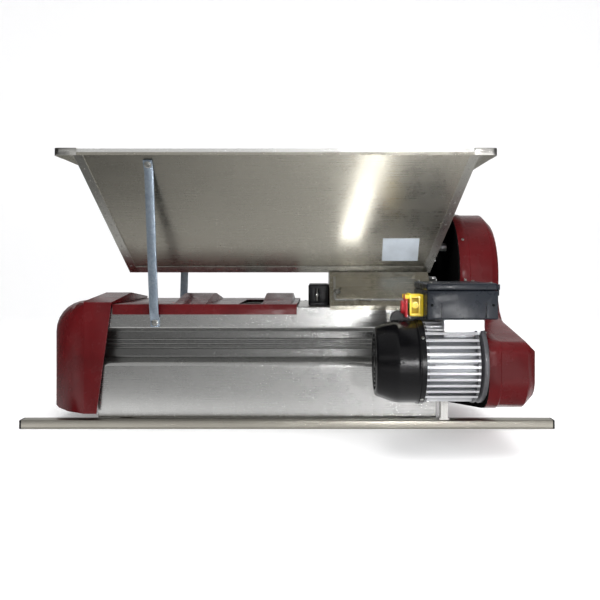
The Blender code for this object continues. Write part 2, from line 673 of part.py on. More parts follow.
def build_crusher():
    top = HOPPER_BOTTOM - 2 * GAP
    lean = math.atan2(CRUSHER_FOOT_HALF - CRUSHER_TOP_HALF, top - TUB_TOP)
    foot = TUB_TOP + GAP + SHEET * math.sin(lean)
    corners = ((CRUSHER_LEFT, -1), (CRUSHER_LEFT, 1), (CRUSHER_RIGHT, 1), (CRUSHER_RIGHT, -1))
    rows = [
        [(x, side * half, z) for x, side in corners]
        for half, z in ((CRUSHER_FOOT_HALF, foot), (CRUSHER_TOP_HALF, top))
    ]
    frame = shell("crusher_frame", rows, SHEET, STAINLESS, flip=True)
    for side, y in (("front", -ROLLER_Y), ("rear", ROLLER_Y)):
        span = (CRUSHER_LEFT - 0.01, CRUSHER_RIGHT + 0.01)
        cut(frame, cylinder(f"{side}_roller_hole", SHAFT_RADIUS + GAP, *span, (y, ROLLER_HEIGHT), None))

    skirt = TUB_HALF_WIDTH + SEAT
    slope = (CRUSHER_FOOT_HALF - CRUSHER_TOP_HALF) / (top - foot)
    bend = CRUSHER_TOP_HALF + (top - CRUSHER_BEND) * slope + PANEL_STANDOFF * math.hypot(1, slope)
    path = [
        (-bend + PANEL_FLANGE[0], CRUSHER_BEND + PANEL_FLANGE[1]),
        (-bend, CRUSHER_BEND),
        (-skirt, TUB_TOP + PANEL_FOOT_RISE),
        (-skirt, CRUSHER_SKIRT),
    ]
    rows = [[(CRUSHER_LEFT, y, z), (CRUSHER_RIGHT, y, z)] for y, z in path]
    shell("crusher_front_panel", rows, SHEET, STAINLESS, flip=True)

    block_right = CRUSHER_LEFT - GAP
    block_left = block_right - BLOCK_WIDTH
    block_low, block_high = TUB_TOP + GAP, TUB_TOP + BLOCK_HEIGHT
    block = box(
        "roller_bearing_block",
        (block_left, -BLOCK_HALF_DEPTH, block_low),
        (block_right, BLOCK_HALF_DEPTH, block_high),
        BLACK_PLASTIC,
        BLOCK_EDGE,
    )
    slot_x = (block_left + block_right) / 2 + ADJUSTER_OFFSET
    face = -BLOCK_HALF_DEPTH
    slot_low = (slot_x - ADJUSTER_HALF, face - 0.01, ROLLER_HEIGHT + ADJUSTER_REACH[0])
    slot_high = (slot_x + ADJUSTER_HALF, face + ADJUSTER_DEPTH, ROLLER_HEIGHT + ADJUSTER_REACH[1])
    cut(block, box("block_slot", slot_low, slot_high, None))
    for side, y in (("front", -ROLLER_Y), ("rear", ROLLER_Y)):
        bore_span = (block_right - BLOCK_WIDTH / 2, block_right + 0.01)
        cut(block, cylinder(f"{side}_block_bore", SHAFT_RADIUS + GAP, *bore_span, (y, ROLLER_HEIGHT), None))
        build_roller(side, y, bore_span[0] + ROLLER_END_GAP)


def build_roller(side, y, shaft_left):
    """One lobed roller on its shaft, and its timing gear."""
    centre = (y, ROLLER_HEIGHT)
    front = side == "front"
    shaft_right = AUGER_CHAIN_X[1] + SPROCKET_SHAFT_END if front else PLATE_X + PLATE_SHEET / 2
    roller = cylinder(f"roller_{side}", SHAFT_RADIUS, shaft_left, shaft_right, centre, STEEL, 20)
    lobes = []
    for i in range(ROLLER_LOBES * 6):
        turn = 2 * math.pi * i / (ROLLER_LOBES * 6)
        radius = ROLLER_RADIUS - ROLLER_LOBE_DEPTH * (1 - math.cos(ROLLER_LOBES * turn)) / 2
        lobes.append((y + radius * math.cos(turn), ROLLER_HEIGHT + radius * math.sin(turn)))
    end_gap = 2 * SEAT + ROLLER_END_GAP
    body_span = (CRUSHER_LEFT + end_gap, CRUSHER_RIGHT - end_gap)
    join(roller, prism(f"roller_{side}_body", [lobes], *body_span, "X", None))
    pitch_radius = ROLLER_SPACING / 2
    module = ROLLER_SPACING / GEAR_TEETH
    outline = toothed(
        centre,
        pitch_radius - GEAR_ROOT * module,
        pitch_radius + GEAR_TIP * module,
        GEAR_TEETH,
        0.0 if front else 0.5,
        0.27,
        0.10,
    )
    bore = circle(centre, SHAFT_RADIUS + GAP)
    prism(f"roller_{side}_gear", [outline, bore], GEAR_LEFT, GEAR_LEFT + GEAR_FACE, "X", STEEL)


def hopper_section(z, inset=0.0):
    """Left, right and half depth of the hopper's outer faces at a height, each moved in by an inset."""
    rise = (z - HOPPER_BOTTOM) / (HOPPER_RIM_TOP - HOPPER_BOTTOM)
    wall_half = RIM_HALF - RIM_OVERHANG + WALL_SPREAD
    slopes = (
        (HOPPER_FOOT_LEFT, RIM_LEFT + RIM_OVERHANG),
        (HOPPER_FOOT_RIGHT, RIM_RIGHT - RIM_OVERHANG),
        (HOPPER_FOOT_HALF, wall_half),
    )
    height = HOPPER_RIM_TOP - HOPPER_BOTTOM
    values = []
    for sign, (low, high) in zip((1, -1, -1), slopes):
        lean = math.hypot(1, (high - low) / height)
        values.append(low + (high - low) * rise + sign * inset * lean)
    return values


def build_hopper_walls():
    under_rim = HOPPER_RIM_TOP - SHEET
    lip_low = HOPPER_RIM_TOP - RIM_HEIGHT
    lip_half = RIM_HALF - SHEET
    for side, sign in (("front", -1), ("rear", 1)):
        rows = []
        for z in (HOPPER_BOTTOM, under_rim):
            left, right, half = hopper_section(z, SEAT)
            rows.append([(left, sign * half, z), (right, sign * half, z)])
        for z in (under_rim, lip_low):
            rows.append([(x, sign * lip_half, z) for x in (RIM_LEFT + CAP_RADIUS, RIM_RIGHT - CAP_RADIUS)])
        shell(f"hopper_{side}_wall", rows, SHEET, STAINLESS, flip=sign > 0)

    lip_top = HOPPER_RIM_TOP - 3 * SHEET
    for side, sign, column in (("left", -1, 0), ("right", 1, 1)):
        points, faces = [], []
        rim = (RIM_LEFT, RIM_RIGHT)[column] - sign * SHEET
        for z in (HOPPER_BOTTOM, lip_top):
            section = hopper_section(z)
            x, half = section[column], section[2]
            lip_x = x - sign * CORNER_LIP
            points += [(lip_x, -half, z), (x, -half, z), (x, half, z), (lip_x, half, z)]
        section = hopper_section(under_rim, 2 * SEAT)
        x = hopper_section(under_rim)[column]
        points += [(x, -section[2], under_rim), (x, section[2], under_rim)]
        end_half = RIM_HALF - CAP_RADIUS
        points += [(rim, side_y, z) for z in (under_rim, lip_low) for side_y in (-end_half, end_half)]
        faces = [(0, 1, 5, 4), (1, 2, 6, 5), (2, 3, 7, 6), (5, 6, 9, 8), (8, 9, 11, 10), (10, 11, 13, 12)]
        if sign < 0:
            faces = [face[::-1] for face in faces]
        mesh = bpy.data.meshes.new(f"hopper_{side}_wall")
        mesh.from_pydata(points, [], faces)
        wall = thicken(place(mesh.name, mesh, STAINLESS), SHEET)
        spot = hopper_section(AUGER_HEIGHT)[column]
        bore = SHAFT_RADIUS + 0.001
        cut(wall, cylinder(f"auger_hole_{side}", bore, spot - 0.03, spot + 0.03, (0, AUGER_HEIGHT), None))


def build_corner_caps():
    """A rounded cap over each corner of the rim: a strip round the outside with a narrow lip on top."""
    low = HOPPER_RIM_TOP - RIM_HEIGHT
    for depth, sy in (("front", -1), ("rear", 1)):
        for hand, sx, corner in (("left", -1, HOPPER_LEFT), ("right", 1, HOPPER_RIGHT)):
            strips = []
            for inset in (0.0, CAP_TOP_LIP):
                middle = (corner - sx * CAP_RADIUS, sy * (HOPPER_HALF_DEPTH - CAP_RADIUS))
                edge = CAP_RADIUS - inset
                path = [(corner - sx * CAP_REACH, middle[1] + sy * edge)]
                for i in range(6):
                    turn = math.pi / 2 * i / 5
                    across, along = sx * edge * math.sin(turn), sy * edge * math.cos(turn)
                    path.append((middle[0] + across, middle[1] + along))
                path.append((middle[0] + sx * edge, sy * (HOPPER_HALF_DEPTH - CAP_REACH)))
                strips.append(path)
            rows = [
                [(x, y, z) for x, y in path]
                for path, z in ((strips[0], low), (strips[0], HOPPER_TOP), (strips[1], HOPPER_TOP))
            ]
            shell(f"rim_cap_{depth}_{hand}", rows, CAP_SHEET, STAINLESS, flip=sx * sy > 0)


def build_auger():
    """The half-round trough in the hopper's floor, with a mouth over the rollers, and the auger in it."""
    radius = AUGER_RADIUS + AUGER_CLEARANCE + SHEET
    ledge = AUGER_HEIGHT + AUGER_LEDGE
    left, _, half = hopper_section(ledge, 2 * SEAT)
    edge_left, edge_right, _ = hopper_section(HOPPER_BOTTOM, 2 * SEAT)
    path = [(-half + GAP, ledge), (-radius, AUGER_HEIGHT)]
    path += arc((0, AUGER_HEIGHT), radius, 180, 360, 14)[1:-1]
    path += [(radius, AUGER_HEIGHT), (half - GAP, ledge)]
    rows = [[(edge_left, y, z), (edge_right, y, z)] for y, z in path]
    trough = shell("hopper_trough", rows, SHEET, STAINLESS, flip=True)
    end_margin, side_margin = TROUGH_MOUTH_MARGIN
    mouth_low = (CRUSHER_LEFT + end_margin, -radius + side_margin, HOPPER_BOTTOM - 0.02)
    mouth_high = (CRUSHER_RIGHT - end_margin, radius - side_margin, AUGER_HEIGHT)
    cut(trough, box("trough_mouth", mouth_low, mouth_high, None))

    shaft_left, shaft_right = left - 0.004, AUGER_CHAIN_X[1] + SPROCKET_SHAFT_END
    auger = cylinder("auger", SHAFT_RADIUS, shaft_left, shaft_right, (0, AUGER_HEIGHT), STEEL, 16)
    start = edge_left + 0.012
    rows = []
    for i in range(AUGER_STEPS * AUGER_TURNS + 1):
        turn = 2 * math.pi * i / AUGER_STEPS
        x = start + AUGER_PITCH * i / AUGER_STEPS
        ring = [
            (x, radius * math.cos(turn), AUGER_HEIGHT + radius * math.sin(turn))
            for radius in (SHAFT_RADIUS * 0.7, AUGER_RADIUS)
        ]
        rows.append(ring)
    flight = shell("auger_flight", rows, AUGER_SHEET, None)
    flight.modifiers["Sheet"].offset = 0
    join(auger, flight)


def build_struts():
    """Two galvanised bars that tie the hopper's walls to the tub's sides."""
    joggle = TUB_HALF_WIDTH + SEAT + STRUT_STANDOFF
    top = HOPPER_RIM_TOP - RIM_HEIGHT - STRUT_TOP_GAP
    lap = top - STRUT_LAP
    left, right = STRUT_CENTRE - STRUT_WIDTH / 2, STRUT_CENTRE + STRUT_WIDTH / 2
    foot = TOP_COVER_SKIRT - STRUT_STANDOFF
    path = [
        (hopper_section(top)[2], top),
        (hopper_section(lap)[2], lap),
        (joggle + STRUT_THICKNESS, TUB_TOP + STRUT_FOOT_GAP),
        (joggle, TOP_COVER_SKIRT),
        (TUB_HALF_WIDTH, foot - STRUT_STANDOFF),
        (TUB_HALF_WIDTH, TUB_SHOULDER + STRUT_FOOT_GAP),
    ]
    outer = offset_path(path, STRUT_THICKNESS + GAP)
    for side, sign in (("front", -1), ("rear", 1)):
        rows = [[(left, sign * y, z), (right, sign * y, z)] for y, z in outer]
        shell(f"strut_{side}", rows, STRUT_THICKNESS, GALVANISED, flip=sign < 0)


def build_rating_plate():
    middle_x, middle_z = RATING_PLATE_CENTRE
    corner = Vector(RATING_PLATE_SIZE) / 2
    slope = math.atan2(hopper_section(middle_z + 0.1)[2] - hopper_section(middle_z)[2], 0.1)
    plate = box("rating_plate", -corner, corner, LABEL)
    out = GAP + corner.y - SEAT
    half = hopper_section(middle_z)[2]
    plate.location = (middle_x, -half - out * math.cos(slope), middle_z - out * math.sin(slope))
    plate.rotation_euler = (slope, 0, 0)


def build_top_cover():
    """The red cover over the left of the deck, with two raised gables and a hand slot."""
    half = TUB_HALF_WIDTH + GAP + SHEET
    path = [(-half, TOP_COVER_SKIRT), (-half, TOP_COVER_TOP), (half, TOP_COVER_TOP), (half, TOP_COVER_SKIRT)]
    rows = [[(TOP_COVER_LEFT, y, z), (TOP_COVER_RIGHT, y, z)] for y, z in path]
    cover = shell("top_cover", rows, SHEET, RED_PAINT)
    for i, (left, right) in enumerate(RIDGES):
        low = TOP_COVER_TOP - SHEET / 2
        gable = [(-half + RIDGE_INSET, low), (half - RIDGE_INSET, low)]
        gable += [(RIDGE_FLAT_HALF, RIDGE_TOP), (-RIDGE_FLAT_HALF, RIDGE_TOP)]
        join(cover, prism(f"gable_{i}", [gable], left, right, "X", None))
    over, under = TOP_COVER_TOP + 0.01, TOP_COVER_TOP - 0.004
    cut(cover, box("cover_slot", (SLOT_X[0], SLOT_Y[0], under), (SLOT_X[1], SLOT_Y[1], over), None))


def build_stem_cover():
    """The hood over the stem outlet. It is open below, and its half is mirrored at the middle."""
    flat = STEM_COVER_SHOULDER - STEM_COVER_RADIUS
    levels = [(STEM_COVER_BOTTOM, 0.0), (flat, 0.0)]
    for i in range(1, STEM_COVER_STEPS + 1):
        turn = math.pi / 2 * i / STEM_COVER_STEPS
        rise = flat + STEM_COVER_RADIUS * math.sin(turn)
        levels.append((rise, STEM_COVER_RADIUS * (1 - math.cos(turn))))
    half = STEM_COVER_HALF_WIDTH
    ring = []
    for z, inward in levels:
        drop = (STEM_COVER_SHOULDER - z) / (STEM_COVER_SHOULDER - STEM_COVER_BOTTOM)
        edge = TOP_COVER_LEFT - STEM_COVER_SLANT * drop
        end = STEM_COVER_END + inward
        share, inset = STEM_COVER_BEND
        bend = (STEM_COVER_CREASE + share * (end - STEM_COVER_CREASE), -half + inset)
        ring.append(
            [
                (edge, -half, z),
                (STEM_COVER_CREASE, -half, z),
                (*bend, z),
                (end + STEM_COVER_FACET[0], -STEM_COVER_END_HALF - STEM_COVER_FACET[1], z),
                (end, -STEM_COVER_END_HALF, z),
                (end, 0, z),
            ]
        )
    top = ring[-1]
    width = len(top)
    crown = [
        (TOP_COVER_LEFT, 0, STEM_COVER_RIDGE),
        (STEM_COVER_CREASE, 0, STEM_COVER_RIDGE),
    ]
    wall_low = TOP_COVER_TOP + 2 * GAP
    closing = [(TOP_COVER_LEFT, -half, wall_low), (TOP_COVER_LEFT, 0, wall_low)]
    points = [point for row in ring for point in row] + crown + closing
    last = (len(ring) - 1) * width
    ridge = len(ring) * width
    faces = [
        [r * width + c, (r + 1) * width + c, (r + 1) * width + c + 1, r * width + c + 1]
        for r in range(len(ring) - 1)
        for c in range(width - 1)
    ]
    faces += [
        [last, ridge, ridge + 1, last + 1],
        [last + 1, ridge + 1, last + 2],
        [last + 2, ridge + 1, last + 3],
        [last + 3, ridge + 1, last + 4],
        [last + 4, ridge + 1, last + 5],
        [last, ridge + 2, ridge + 3, ridge],
    ]
    mesh = bpy.data.meshes.new("stem_cover")
    mesh.from_pydata(points, [], faces)
    cover = place("stem_cover", mesh, RED_PAINT)
    mirror = cover.modifiers.new("Mirror", "MIRROR")
    mirror.use_axis = (False, True, False)
    mirror.merge_threshold = 0.0001
    thicken(cover, COVER_SHEET)


def build_motor():
    """Finned housing with a flat seat for the switch box, its flange, fan cover and turning parts."""
    centre = (MOTOR_Y, MOTOR_Z)
    root = MOTOR_RADIUS - FIN_DEPTH
    right_side, left_side = [], []
    for i in FIN_ROWS:
        middle = i * FIN_PITCH
        for edge, deep in ((-1, True), (-1, False), (1, False), (1, True)):
            z = middle + edge * FIN_WIDTH / 2
            reach = math.sqrt((root if deep else MOTOR_RADIUS) ** 2 - z**2)
            right_side.append((MOTOR_Y + reach, MOTOR_Z + z))
            left_side.append((MOTOR_Y - reach, MOTOR_Z + z))
    top_z, half = MOTOR_RADIUS - MOTOR_FLAT_INSET, MOTOR_FLAT_HALF
    foot = [(MOTOR_Y - half, MOTOR_Z - top_z), (MOTOR_Y + half, MOTOR_Z - top_z)]
    head = [(MOTOR_Y + half, MOTOR_Z + top_z), (MOTOR_Y - half, MOTOR_Z + top_z)]
    outline = foot + right_side + head + left_side[::-1]
    bore = circle(centre, MOTOR_SHAFT_RADIUS + GAP, 20)
    housing = prism("motor_housing", [outline, bore], MOTOR_LEFT, MOTOR_FLANGE - GAP, "X", ALUMINIUM)
    seat_low = (TERMINAL_SEAT[0], MOTOR_Y - TERMINAL_SEAT_HALF, MOTOR_Z + MOTOR_RADIUS - TERMINAL_SEAT_DEPTH)
    seat_high = (TERMINAL_SEAT[1], MOTOR_Y + TERMINAL_SEAT_HALF, BOX_Z[0] - GAP)
    join(housing, box("terminal_seat", seat_low, seat_high, None), "MANIFOLD")

    flange_right = PLATE_X - GAP
    radius = MOTOR_RADIUS
    flange = [(radius, flange_right), (radius, flange_right - FLANGE_EDGE)]
    flange.append((radius * FLANGE_WAIST, MOTOR_FLANGE))
    flange += [(MOTOR_SHAFT_RADIUS + GAP, MOTOR_FLANGE), (MOTOR_SHAFT_RADIUS + GAP, flange_right)]
    turned("motor_flange", flange, centre, ALUMINIUM, 32, closed=True)

    fan_left = MOTOR_LEFT - FAN_COVER_LENGTH
    fan_right = MOTOR_LEFT - GAP
    profile = [
        (radius + FAN_COVER_RING, fan_right),
        (radius + FAN_COVER_RING, fan_right - FAN_COVER_RING_WIDTH),
        (radius, fan_right - FAN_COVER_RING_WIDTH - FAN_COVER_RING),
        *((radius - inset, fan_left + along) for inset, along in FAN_COVER_PROFILE),
        (FAN_COVER_HOLE, fan_left),
    ]
    thicken(turned("fan_cover", profile, centre, BLACK_PLASTIC, 28), COVER_SHEET)

    shaft_left = fan_left + FAN_GAP
    cylinder("motor_shaft", MOTOR_SHAFT_RADIUS, shaft_left, BELT_X[1] + 0.008, centre, STEEL, 20)
    blades = toothed(centre, *FAN_RADII, FAN_BLADES, 0.0, 0.22, 0.09)
    bore = circle(centre, MOTOR_SHAFT_RADIUS + GAP, 20)
    fan_start = shaft_left + SPROCKET_SHAFT_END
    prism("cooling_fan", [blades, bore], fan_start, fan_start + FAN_WIDTH, "X", BLACK_PLASTIC)


def pulley(name, radius, shaft_radius, centre, steps):
    """A pulley with a cheek on each side of the flat-sided belt."""
    left, right = BELT_X[0] - PULLEY_CHEEK, BELT_X[1] + PULLEY_CHEEK
    rim = radius + PULLEY_RIM
    floor = rim - BELT_THICKNESS
    bore = shaft_radius + GAP
    profile = [
        (rim, right),
        (rim, BELT_X[1] + GAP),
        (floor, BELT_X[1] + GAP),
        (floor, BELT_X[0] - GAP),
        (rim, BELT_X[0] - GAP),
        (rim, left),
        (bore, left),
        (bore, right),
    ]
    return turned(name, profile, centre, STEEL, steps, closed=True)


def sprocket_radius(teeth):
    return CHAIN_PITCH * teeth / (2 * math.pi)


def sprocket(name, teeth, centre, shaft_radius, span, finish=STEEL):
    radius = sprocket_radius(teeth)
    outline = pointed(centre, radius - TOOTH_DEPTH, radius, teeth)
    bore = circle(centre, shaft_radius + GAP, 20)
    return prism(name, [outline, bore], *span, "X", finish)


def band(name, first, second, span, thickness, finish):
    """A belt or chain round two (y, z, radius) wheels."""
    outer, inner = loop_round(first, second, thickness + GAP), loop_round(first, second, GAP)
    prism(name, [outer, inner], *span, "X", finish)


def build_drives():
    motor, drum = (MOTOR_Y, MOTOR_Z), (0, DRUM_HEIGHT)
    roller, auger = (-ROLLER_Y, ROLLER_HEIGHT), (0, AUGER_HEIGHT)
    pulley("motor_pulley", MOTOR_PULLEY_RADIUS, MOTOR_SHAFT_RADIUS, motor, 24)
    pulley("destemmer_pulley", DESTEMMER_PULLEY_RADIUS, DESTEMMER_SHAFT_RADIUS, drum, 32)
    depth = BELT_THICKNESS - PULLEY_RIM
    small, large = MOTOR_PULLEY_RADIUS - depth, DESTEMMER_PULLEY_RADIUS - depth
    band("v_belt", (*motor, small), (*drum, large), BELT_X, BELT_THICKNESS, RUBBER)

    sprocket("destemmer_sprocket", DESTEMMER_SPROCKET_TEETH, drum, DESTEMMER_SHAFT_RADIUS, CRUSHER_CHAIN_X)
    double = sprocket("roller_sprocket", ROLLER_SPROCKET_TEETH, roller, SHAFT_RADIUS, CRUSHER_CHAIN_X)
    hub_span = (CRUSHER_CHAIN_X[1] - 0.001, AUGER_CHAIN_X[0] + 0.001)
    bore = circle(roller, SHAFT_RADIUS + GAP, 20)
    hub = circle(roller, SHAFT_RADIUS + SPROCKET_HUB_WALL, 20)
    join(double, prism("sprocket_hub", [hub, bore], *hub_span, "X", None))
    join(double, sprocket("auger_driver", AUGER_DRIVER_TEETH, roller, SHAFT_RADIUS, AUGER_CHAIN_X, None))
    sprocket("auger_sprocket", AUGER_SPROCKET_TEETH, auger, SHAFT_RADIUS, AUGER_CHAIN_X)
    wheels = {
        "crusher_chain": (drum, DESTEMMER_SPROCKET_TEETH, roller, ROLLER_SPROCKET_TEETH, CRUSHER_CHAIN_X),
        "auger_chain": (roller, AUGER_DRIVER_TEETH, auger, AUGER_SPROCKET_TEETH, AUGER_CHAIN_X),
    }
    for name, (low, low_teeth, high, high_teeth, span) in wheels.items():
        first, second = (*low, sprocket_radius(low_teeth)), (*high, sprocket_radius(high_teeth))
        band(name, first, second, span, CHAIN_THICKNESS, STEEL)


def guard_outline(inset, count=GUARD_STEPS):
    """The guard's outline in Y and Z, moved in by an inset. It is a chain of arcs joined by tangent lines:
    the upper lobe, the neck fillet, the nose's two corners and the lower lobe."""
    upper, lower = Vector(UPPER_LOBE[:2]), Vector(LOWER_LOBE[:2])
    rear = math.degrees(math.asin((LOWER_LOBE[2] - UPPER_LOBE[2]) / (upper - lower).length))
    nose_top = Vector((-NOSE_REACH + NOSE_UPPER[1], NOSE_UPPER[0]))
    nose_low = Vector((-NOSE_REACH + NOSE_LOWER[1], NOSE_LOWER[0]))
    along = Vector((math.cos(NOSE_TOP_SLOPE), math.sin(NOSE_TOP_SLOPE)))
    normal = Vector((-along.y, along.x))
    start = nose_top + normal * (NOSE_UPPER[1] + NECK_RADIUS)  # the fillet's centre moves along this line
    aside = (upper - start).dot(normal)
    reach = UPPER_LOBE[2] + NECK_RADIUS
    neck = start + along * ((upper - start).dot(along) - math.sqrt(reach**2 - aside**2))
    to_neck = math.degrees(math.atan2(neck.y - upper.y, neck.x - upper.x)) % 360
    nose_angle = 90 + math.degrees(NOSE_TOP_SLOPE)
    belly = lower - nose_low
    spread = math.degrees(math.acos((NOSE_LOWER[1] - LOWER_LOBE[2]) / belly.length))
    belly_angle = (math.degrees(math.atan2(belly.y, belly.x)) - spread) % 360
    small = max(NOSE_UPPER[1] - inset, GUARD_SMALLEST)
    return (
        arc(upper, UPPER_LOBE[2] - inset, rear, to_neck, 2 * count)
        + arc(neck, NECK_RADIUS + inset, to_neck - 180, nose_angle - 180, count // 4)[1:]
        + arc(nose_top, small, nose_angle, 180, count // 4)
        + arc(nose_low, NOSE_LOWER[1] - inset, 180, belly_angle, count // 2)
        + arc(lower, LOWER_LOBE[2] - inset, belly_angle, 360 + rear, count)
    )


def build_guard():
    """The plate that carries the motor, and the red cover over the belt and chains."""
    holes = [
        circle((0, DRUM_HEIGHT), DESTEMMER_SHAFT_RADIUS + GAP),
        circle((-ROLLER_Y, ROLLER_HEIGHT), SHAFT_RADIUS + GAP),
        circle((ROLLER_Y, ROLLER_HEIGHT), SHAFT_RADIUS + GAP),
        circle((0, AUGER_HEIGHT), SHAFT_RADIUS + GAP),
        circle((MOTOR_Y, MOTOR_Z), MOTOR_SHAFT_RADIUS + PLATE_HOLE_MARGIN),
    ]
    outline = guard_outline(0)
    prism("guard_back_plate", [outline, *holes], PLATE_X, PLATE_X + PLATE_SHEET, "X", BLACK_PAINT)
    left = PLATE_X + PLATE_SHEET + GAP
    stations = [(left, 0), (left + GUARD_BAND, 0), (left + GUARD_BAND + GUARD_JOGGLE, GUARD_JOGGLE)]
    stations += [(GUARD_WALL_RIGHT, GUARD_JOGGLE), (GUARD_END, GUARD_END - GUARD_WALL_RIGHT + GUARD_JOGGLE)]
    points, faces = [], []
    for x, inset in stations:
        points += [(x, y, z) for y, z in guard_outline(inset)]
    width = len(outline)
    for r in range(len(stations) - 1):
        for c in range(width):
            after = (c + 1) % width
            faces.append([r * width + c, r * width + after, (r + 1) * width + after, (r + 1) * width + c])
    faces.append([(len(stations) - 1) * width + c for c in range(width)])
    mesh = bpy.data.meshes.new("guard_cover")
    mesh.from_pydata(points, [], faces)
    thicken(place("guard_cover", mesh, RED_PAINT), COVER_SHEET)

    wide, waist = BEARING_HUB_RADIUS, BEARING_HUB_RADIUS * BEARING_HUB_WAIST
    edge, neck = BEARING_HUB_EDGE
    hub = [(wide, PLATE_X - GAP), (wide, PLATE_X - edge), (waist, PLATE_X - neck)]
    hub += [(waist, TUB_RIGHT + neck), (wide, TUB_RIGHT + edge), (wide, TUB_RIGHT + GAP)]
    bore = DESTEMMER_SHAFT_RADIUS + GAP
    hub += [(bore, TUB_RIGHT + GAP), (bore, PLATE_X - GAP)]
    turned("bearing_hub", hub, (0, DRUM_HEIGHT), STEEL, 24, closed=True)

    front = -RAIL_CENTRE_Y - RAIL_WIDTH / 2
    leg_back = front + LEG_X[1] - LEG_X[0]
    leg_high = (LEG_X[1], leg_back, LEG_TOP)
    leg = box("guard_leg", (LEG_X[0], front, RAIL_TOP + GAP), leg_high, STAINLESS, RAIL_CORNER / 2)
    from_left, inset, drop = LEG_ARM
    arm_low = (LEG_X[0] + from_left, front + inset, LEG_TOP - drop)
    join(leg, box("leg_arm", arm_low, (PLATE_X - GAP, leg_back - inset, LEG_TOP - inset), None))
    wider, longer, thickness = LEG_FOOT
    foot_low = (LEG_X[0] - wider, front + 0.001, RAIL_TOP + GAP)
    foot_high = (LEG_X[1] + wider, leg_back + longer, RAIL_TOP + thickness)
    join(leg, box("leg_foot", foot_low, foot_high, None))


def build_controls():
    """The switch box on the motor, and the safety switch with its flap and button on the box's left face."""
    lid_low = BOX_Z[1] - LID_HEIGHT
    case_low, case_high = zip(BOX_X, BOX_Y, (BOX_Z[0], lid_low - GAP))
    case = box("switch_box", case_low, case_high, BLACK_PLASTIC, BOX_EDGE)
    width, depth, height = GROOVE_SIZE
    floor = BOX_Z[0] + depth
    for i, x in enumerate((BOX_X[0] + GROOVE_INSETS[0], BOX_X[1] - GROOVE_INSETS[1])):
        groove_low = (x - width / 2, BOX_Y[0] - 0.01, floor)
        groove_high = (x + width / 2, BOX_Y[0] + depth, floor + height)
        cut(case, box(f"box_groove_{i}", groove_low, groove_high, None))
    lid_front = (BOX_X[0] - LID_SHIFT, BOX_Y[0] + LID_SHIFT, lid_low)
    lid_back = (BOX_X[1] - LID_SHIFT, BOX_Y[1], BOX_Z[1])
    lid = box("switch_box_lid", lid_front, lid_back, BLACK_PLASTIC, LID_EDGE)
    lid.modifiers["Rounded edges"].segments = 3

    switch = box("safety_switch", *zip(SWITCH_X, SWITCH_Y, SWITCH_Z), YELLOW_PLASTIC, 0.002)
    middle_y = (SWITCH_Y[0] + SWITCH_Y[1]) / 2
    low, high = SWITCH_Z
    button = (middle_y, (low + high) / 2 - BUTTON_DROP)
    pocket_span = (SWITCH_X[0] - 0.01, SWITCH_X[0] + POCKET_DEPTH)
    cut(switch, cylinder("button_pocket", BUTTON_RADIUS + GAP, *pocket_span, button, None))
    button_left = SWITCH_X[0] - BUTTON_TRAVEL
    button_right = SWITCH_X[0] + BUTTON_DEPTH
    cylinder("start_button", BUTTON_RADIUS, button_left, button_right, button, GREEN_PLASTIC, 20)

    flap_right = button_left - FLAP_GAP
    hinge = (flap_right - FLAP_THICKNESS / 2, high - HINGE_DROP)
    flap = box(
        "stop_flap",
        (flap_right - FLAP_THICKNESS, SWITCH_Y[0] + 0.002, low - 0.002),
        (flap_right, SWITCH_Y[1] - 0.002, high - 0.001),
        RED_PLASTIC,
        0.0012,
    )
    knob_span = (flap_right - FLAP_THICKNESS - KNOB_HEIGHT, flap_right - 0.001)
    join(flap, cylinder("stop_knob", KNOB_RADIUS, *knob_span, button, None, 20))
    for side, y in (("near", SWITCH_Y[0]), ("far", SWITCH_Y[1] - HINGE_EAR)):
        ear_low = (hinge[0] - HINGE_EAR_REACH[0], y, hinge[1] - HINGE_EAR_REACH[1])
        ear_high = (SWITCH_X[0] + 0.002, y + HINGE_EAR, high - 0.0005)
        join(switch, box(f"hinge_ear_{side}", ear_low, ear_high, None))
    pin_span = (SWITCH_Y[0] + HINGE_EAR / 2, SWITCH_Y[1] - HINGE_EAR / 2)
    join(switch, prism("hinge_pin", [circle(hinge, HINGE_PIN_RADIUS, 12)], *pin_span, "Y", None))
    bore_span = (SWITCH_Y[0] - 0.001, SWITCH_Y[1] + 0.001)
    cut(flap, prism("flap_bore", [circle(hinge, HINGE_PIN_RADIUS + GAP, 12)], *bore_span, "Y", None))

    socket = (BOX_Y[1] - INLET_PLACE[0], low + INLET_PLACE[1])
    inlet_span = (BOX_X[0] - INLET_LENGTH, BOX_X[0] - GAP)
    inlet = cylinder("power_inlet", INLET_RADIUS, *inlet_span, socket, BLACK_PLASTIC, 20)
    recess_span = (BOX_X[0] - INLET_LENGTH - 0.01, BOX_X[0] - INLET_FLOOR)
    cut(inlet, cylinder("inlet_recess", INLET_RADIUS - INLET_WALL, *recess_span, socket, None, 20))


build_frame()
build_tub()
build_trough()
build_paddle_shaft()
build_crusher()
build_hopper_walls()
build_corner_caps()
build_auger()
build_struts()
build_rating_plate()
build_top_cover()
build_stem_cover()
build_motor()
build_drives()
build_guard()
build_controls()
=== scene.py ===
import json
import math

import bmesh
import bpy
import numpy as np
from mathutils import Matrix, Vector

